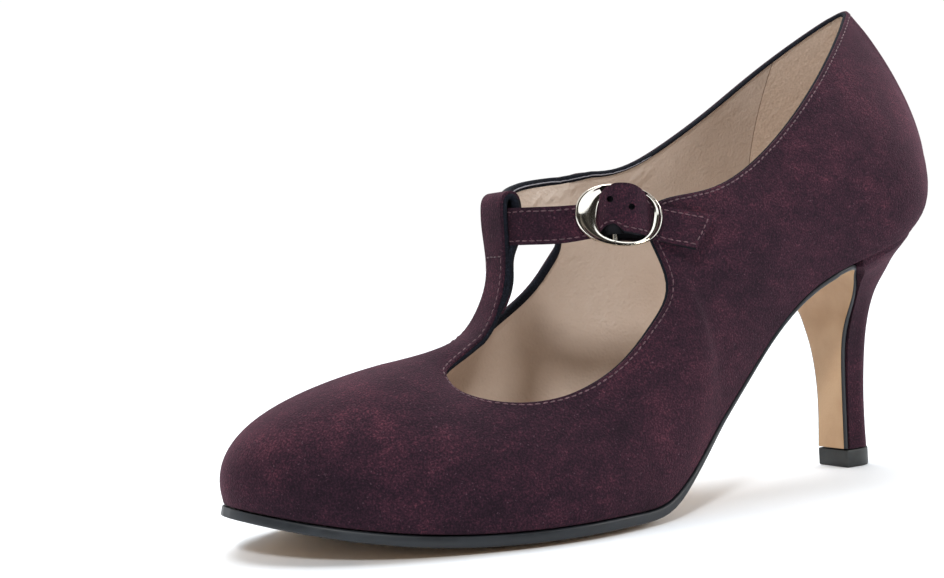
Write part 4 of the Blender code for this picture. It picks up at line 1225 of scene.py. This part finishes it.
TO_CAMERA = (0.498, 0.867, 0.0)
world = bpy.data.worlds.new("studio")
bpy.context.scene.world = world
world.use_nodes = True
world.node_tree.nodes.clear()
tree = world.node_tree
toward = add(tree, "ShaderNodeTexCoord").outputs["Generated"]
facing = add(tree, "ShaderNodeVectorMath", {
    0: toward, 1: TO_CAMERA}, operation="DOT_PRODUCT").outputs["Value"]
share = add(tree, "ShaderNodeMapRange", {"Value": facing, "From Min": -1.0, "From Max": 1.0}).outputs[0]
glow = add(tree, "ShaderNodeValToRGB", {"Fac": share}, stops=(
    (0.30, "#ffffff"), (0.52, "#dddbd9"), (0.68, "#a8a298"),
    (0.82, "#3b3936"), (0.93, "#2c2a28"), (1.0, "#4a4743"))).outputs["Color"]
sky = add(tree, "ShaderNodeBackground", {"Color": glow, "Strength": 1.02})
add(tree, "ShaderNodeOutputWorld", {"Surface": sky.outputs[0]})


def soft_light(name, place, target, size, power):
    lamp = bpy.data.lights.new(name, "AREA")
    lamp.shape = "DISK"
    lamp.size = size
    lamp.energy = power
    made = bpy.data.objects.new(name, lamp)
    bpy.context.scene.collection.objects.link(made)
    made.location = place
    aim = Vector(target) - Vector(place)
    made.rotation_euler = aim.to_track_quat("-Z", "Y").to_euler()


sun = bpy.data.lights.new("overhead", "SUN")
sun.energy = 2.9
sun.angle = math.radians(50)
overhead = bpy.data.objects.new("overhead", sun)
bpy.context.scene.collection.objects.link(overhead)
overhead.rotation_euler = Vector((0.12, 0.30, -1.0)).to_track_quat("-Z", "Y").to_euler()
soft_light("fill", (0.9, 1.0, 1.1), (0.0, 0.0, 0.06), 0.3, 15.0)
soft_light("side", (-1.0, 0.9, 0.7), (0.0, 0.0, 0.08), 0.6, 7.0)

# Camera: stands at the outer front of the shoe, almost level with the instep, and is rolled a little.
# It looks at a point over the ball of the foot.
CAMERA_AIM = (159.84, 0.0, 59.42)
CAMERA_FAR = 358.81
CAMERA_TURN = math.radians(60.14)
CAMERA_PITCH = math.radians(0.81)
CAMERA_ROLL = math.radians(-3.16)
level = math.cos(CAMERA_PITCH)
back = Vector((math.cos(CAMERA_TURN) * level, math.sin(CAMERA_TURN) * level, math.sin(CAMERA_PITCH)))
right = (-back).cross(Vector((0.0, 0.0, 1.0))).normalized()
up = right.cross(-back)
right, up = (right * math.cos(CAMERA_ROLL) + up * math.sin(CAMERA_ROLL),
             up * math.cos(CAMERA_ROLL) - right * math.sin(CAMERA_ROLL))
place = Vector(on_last(CAMERA_AIM)) + back * CAMERA_FAR * GRADE * 0.001
lens = bpy.data.cameras.new("camera")
lens.lens = 53.8
lens.clip_start = 0.01
camera = bpy.data.objects.new("camera", lens)
bpy.context.scene.collection.objects.link(camera)
turn = Matrix((right, up, back)).transposed().to_4x4()
camera.matrix_world = Matrix.Translation(place) @ turn
bpy.context.scene.camera = camera
bpy.context.scene.view_settings.view_transform = "Standard"
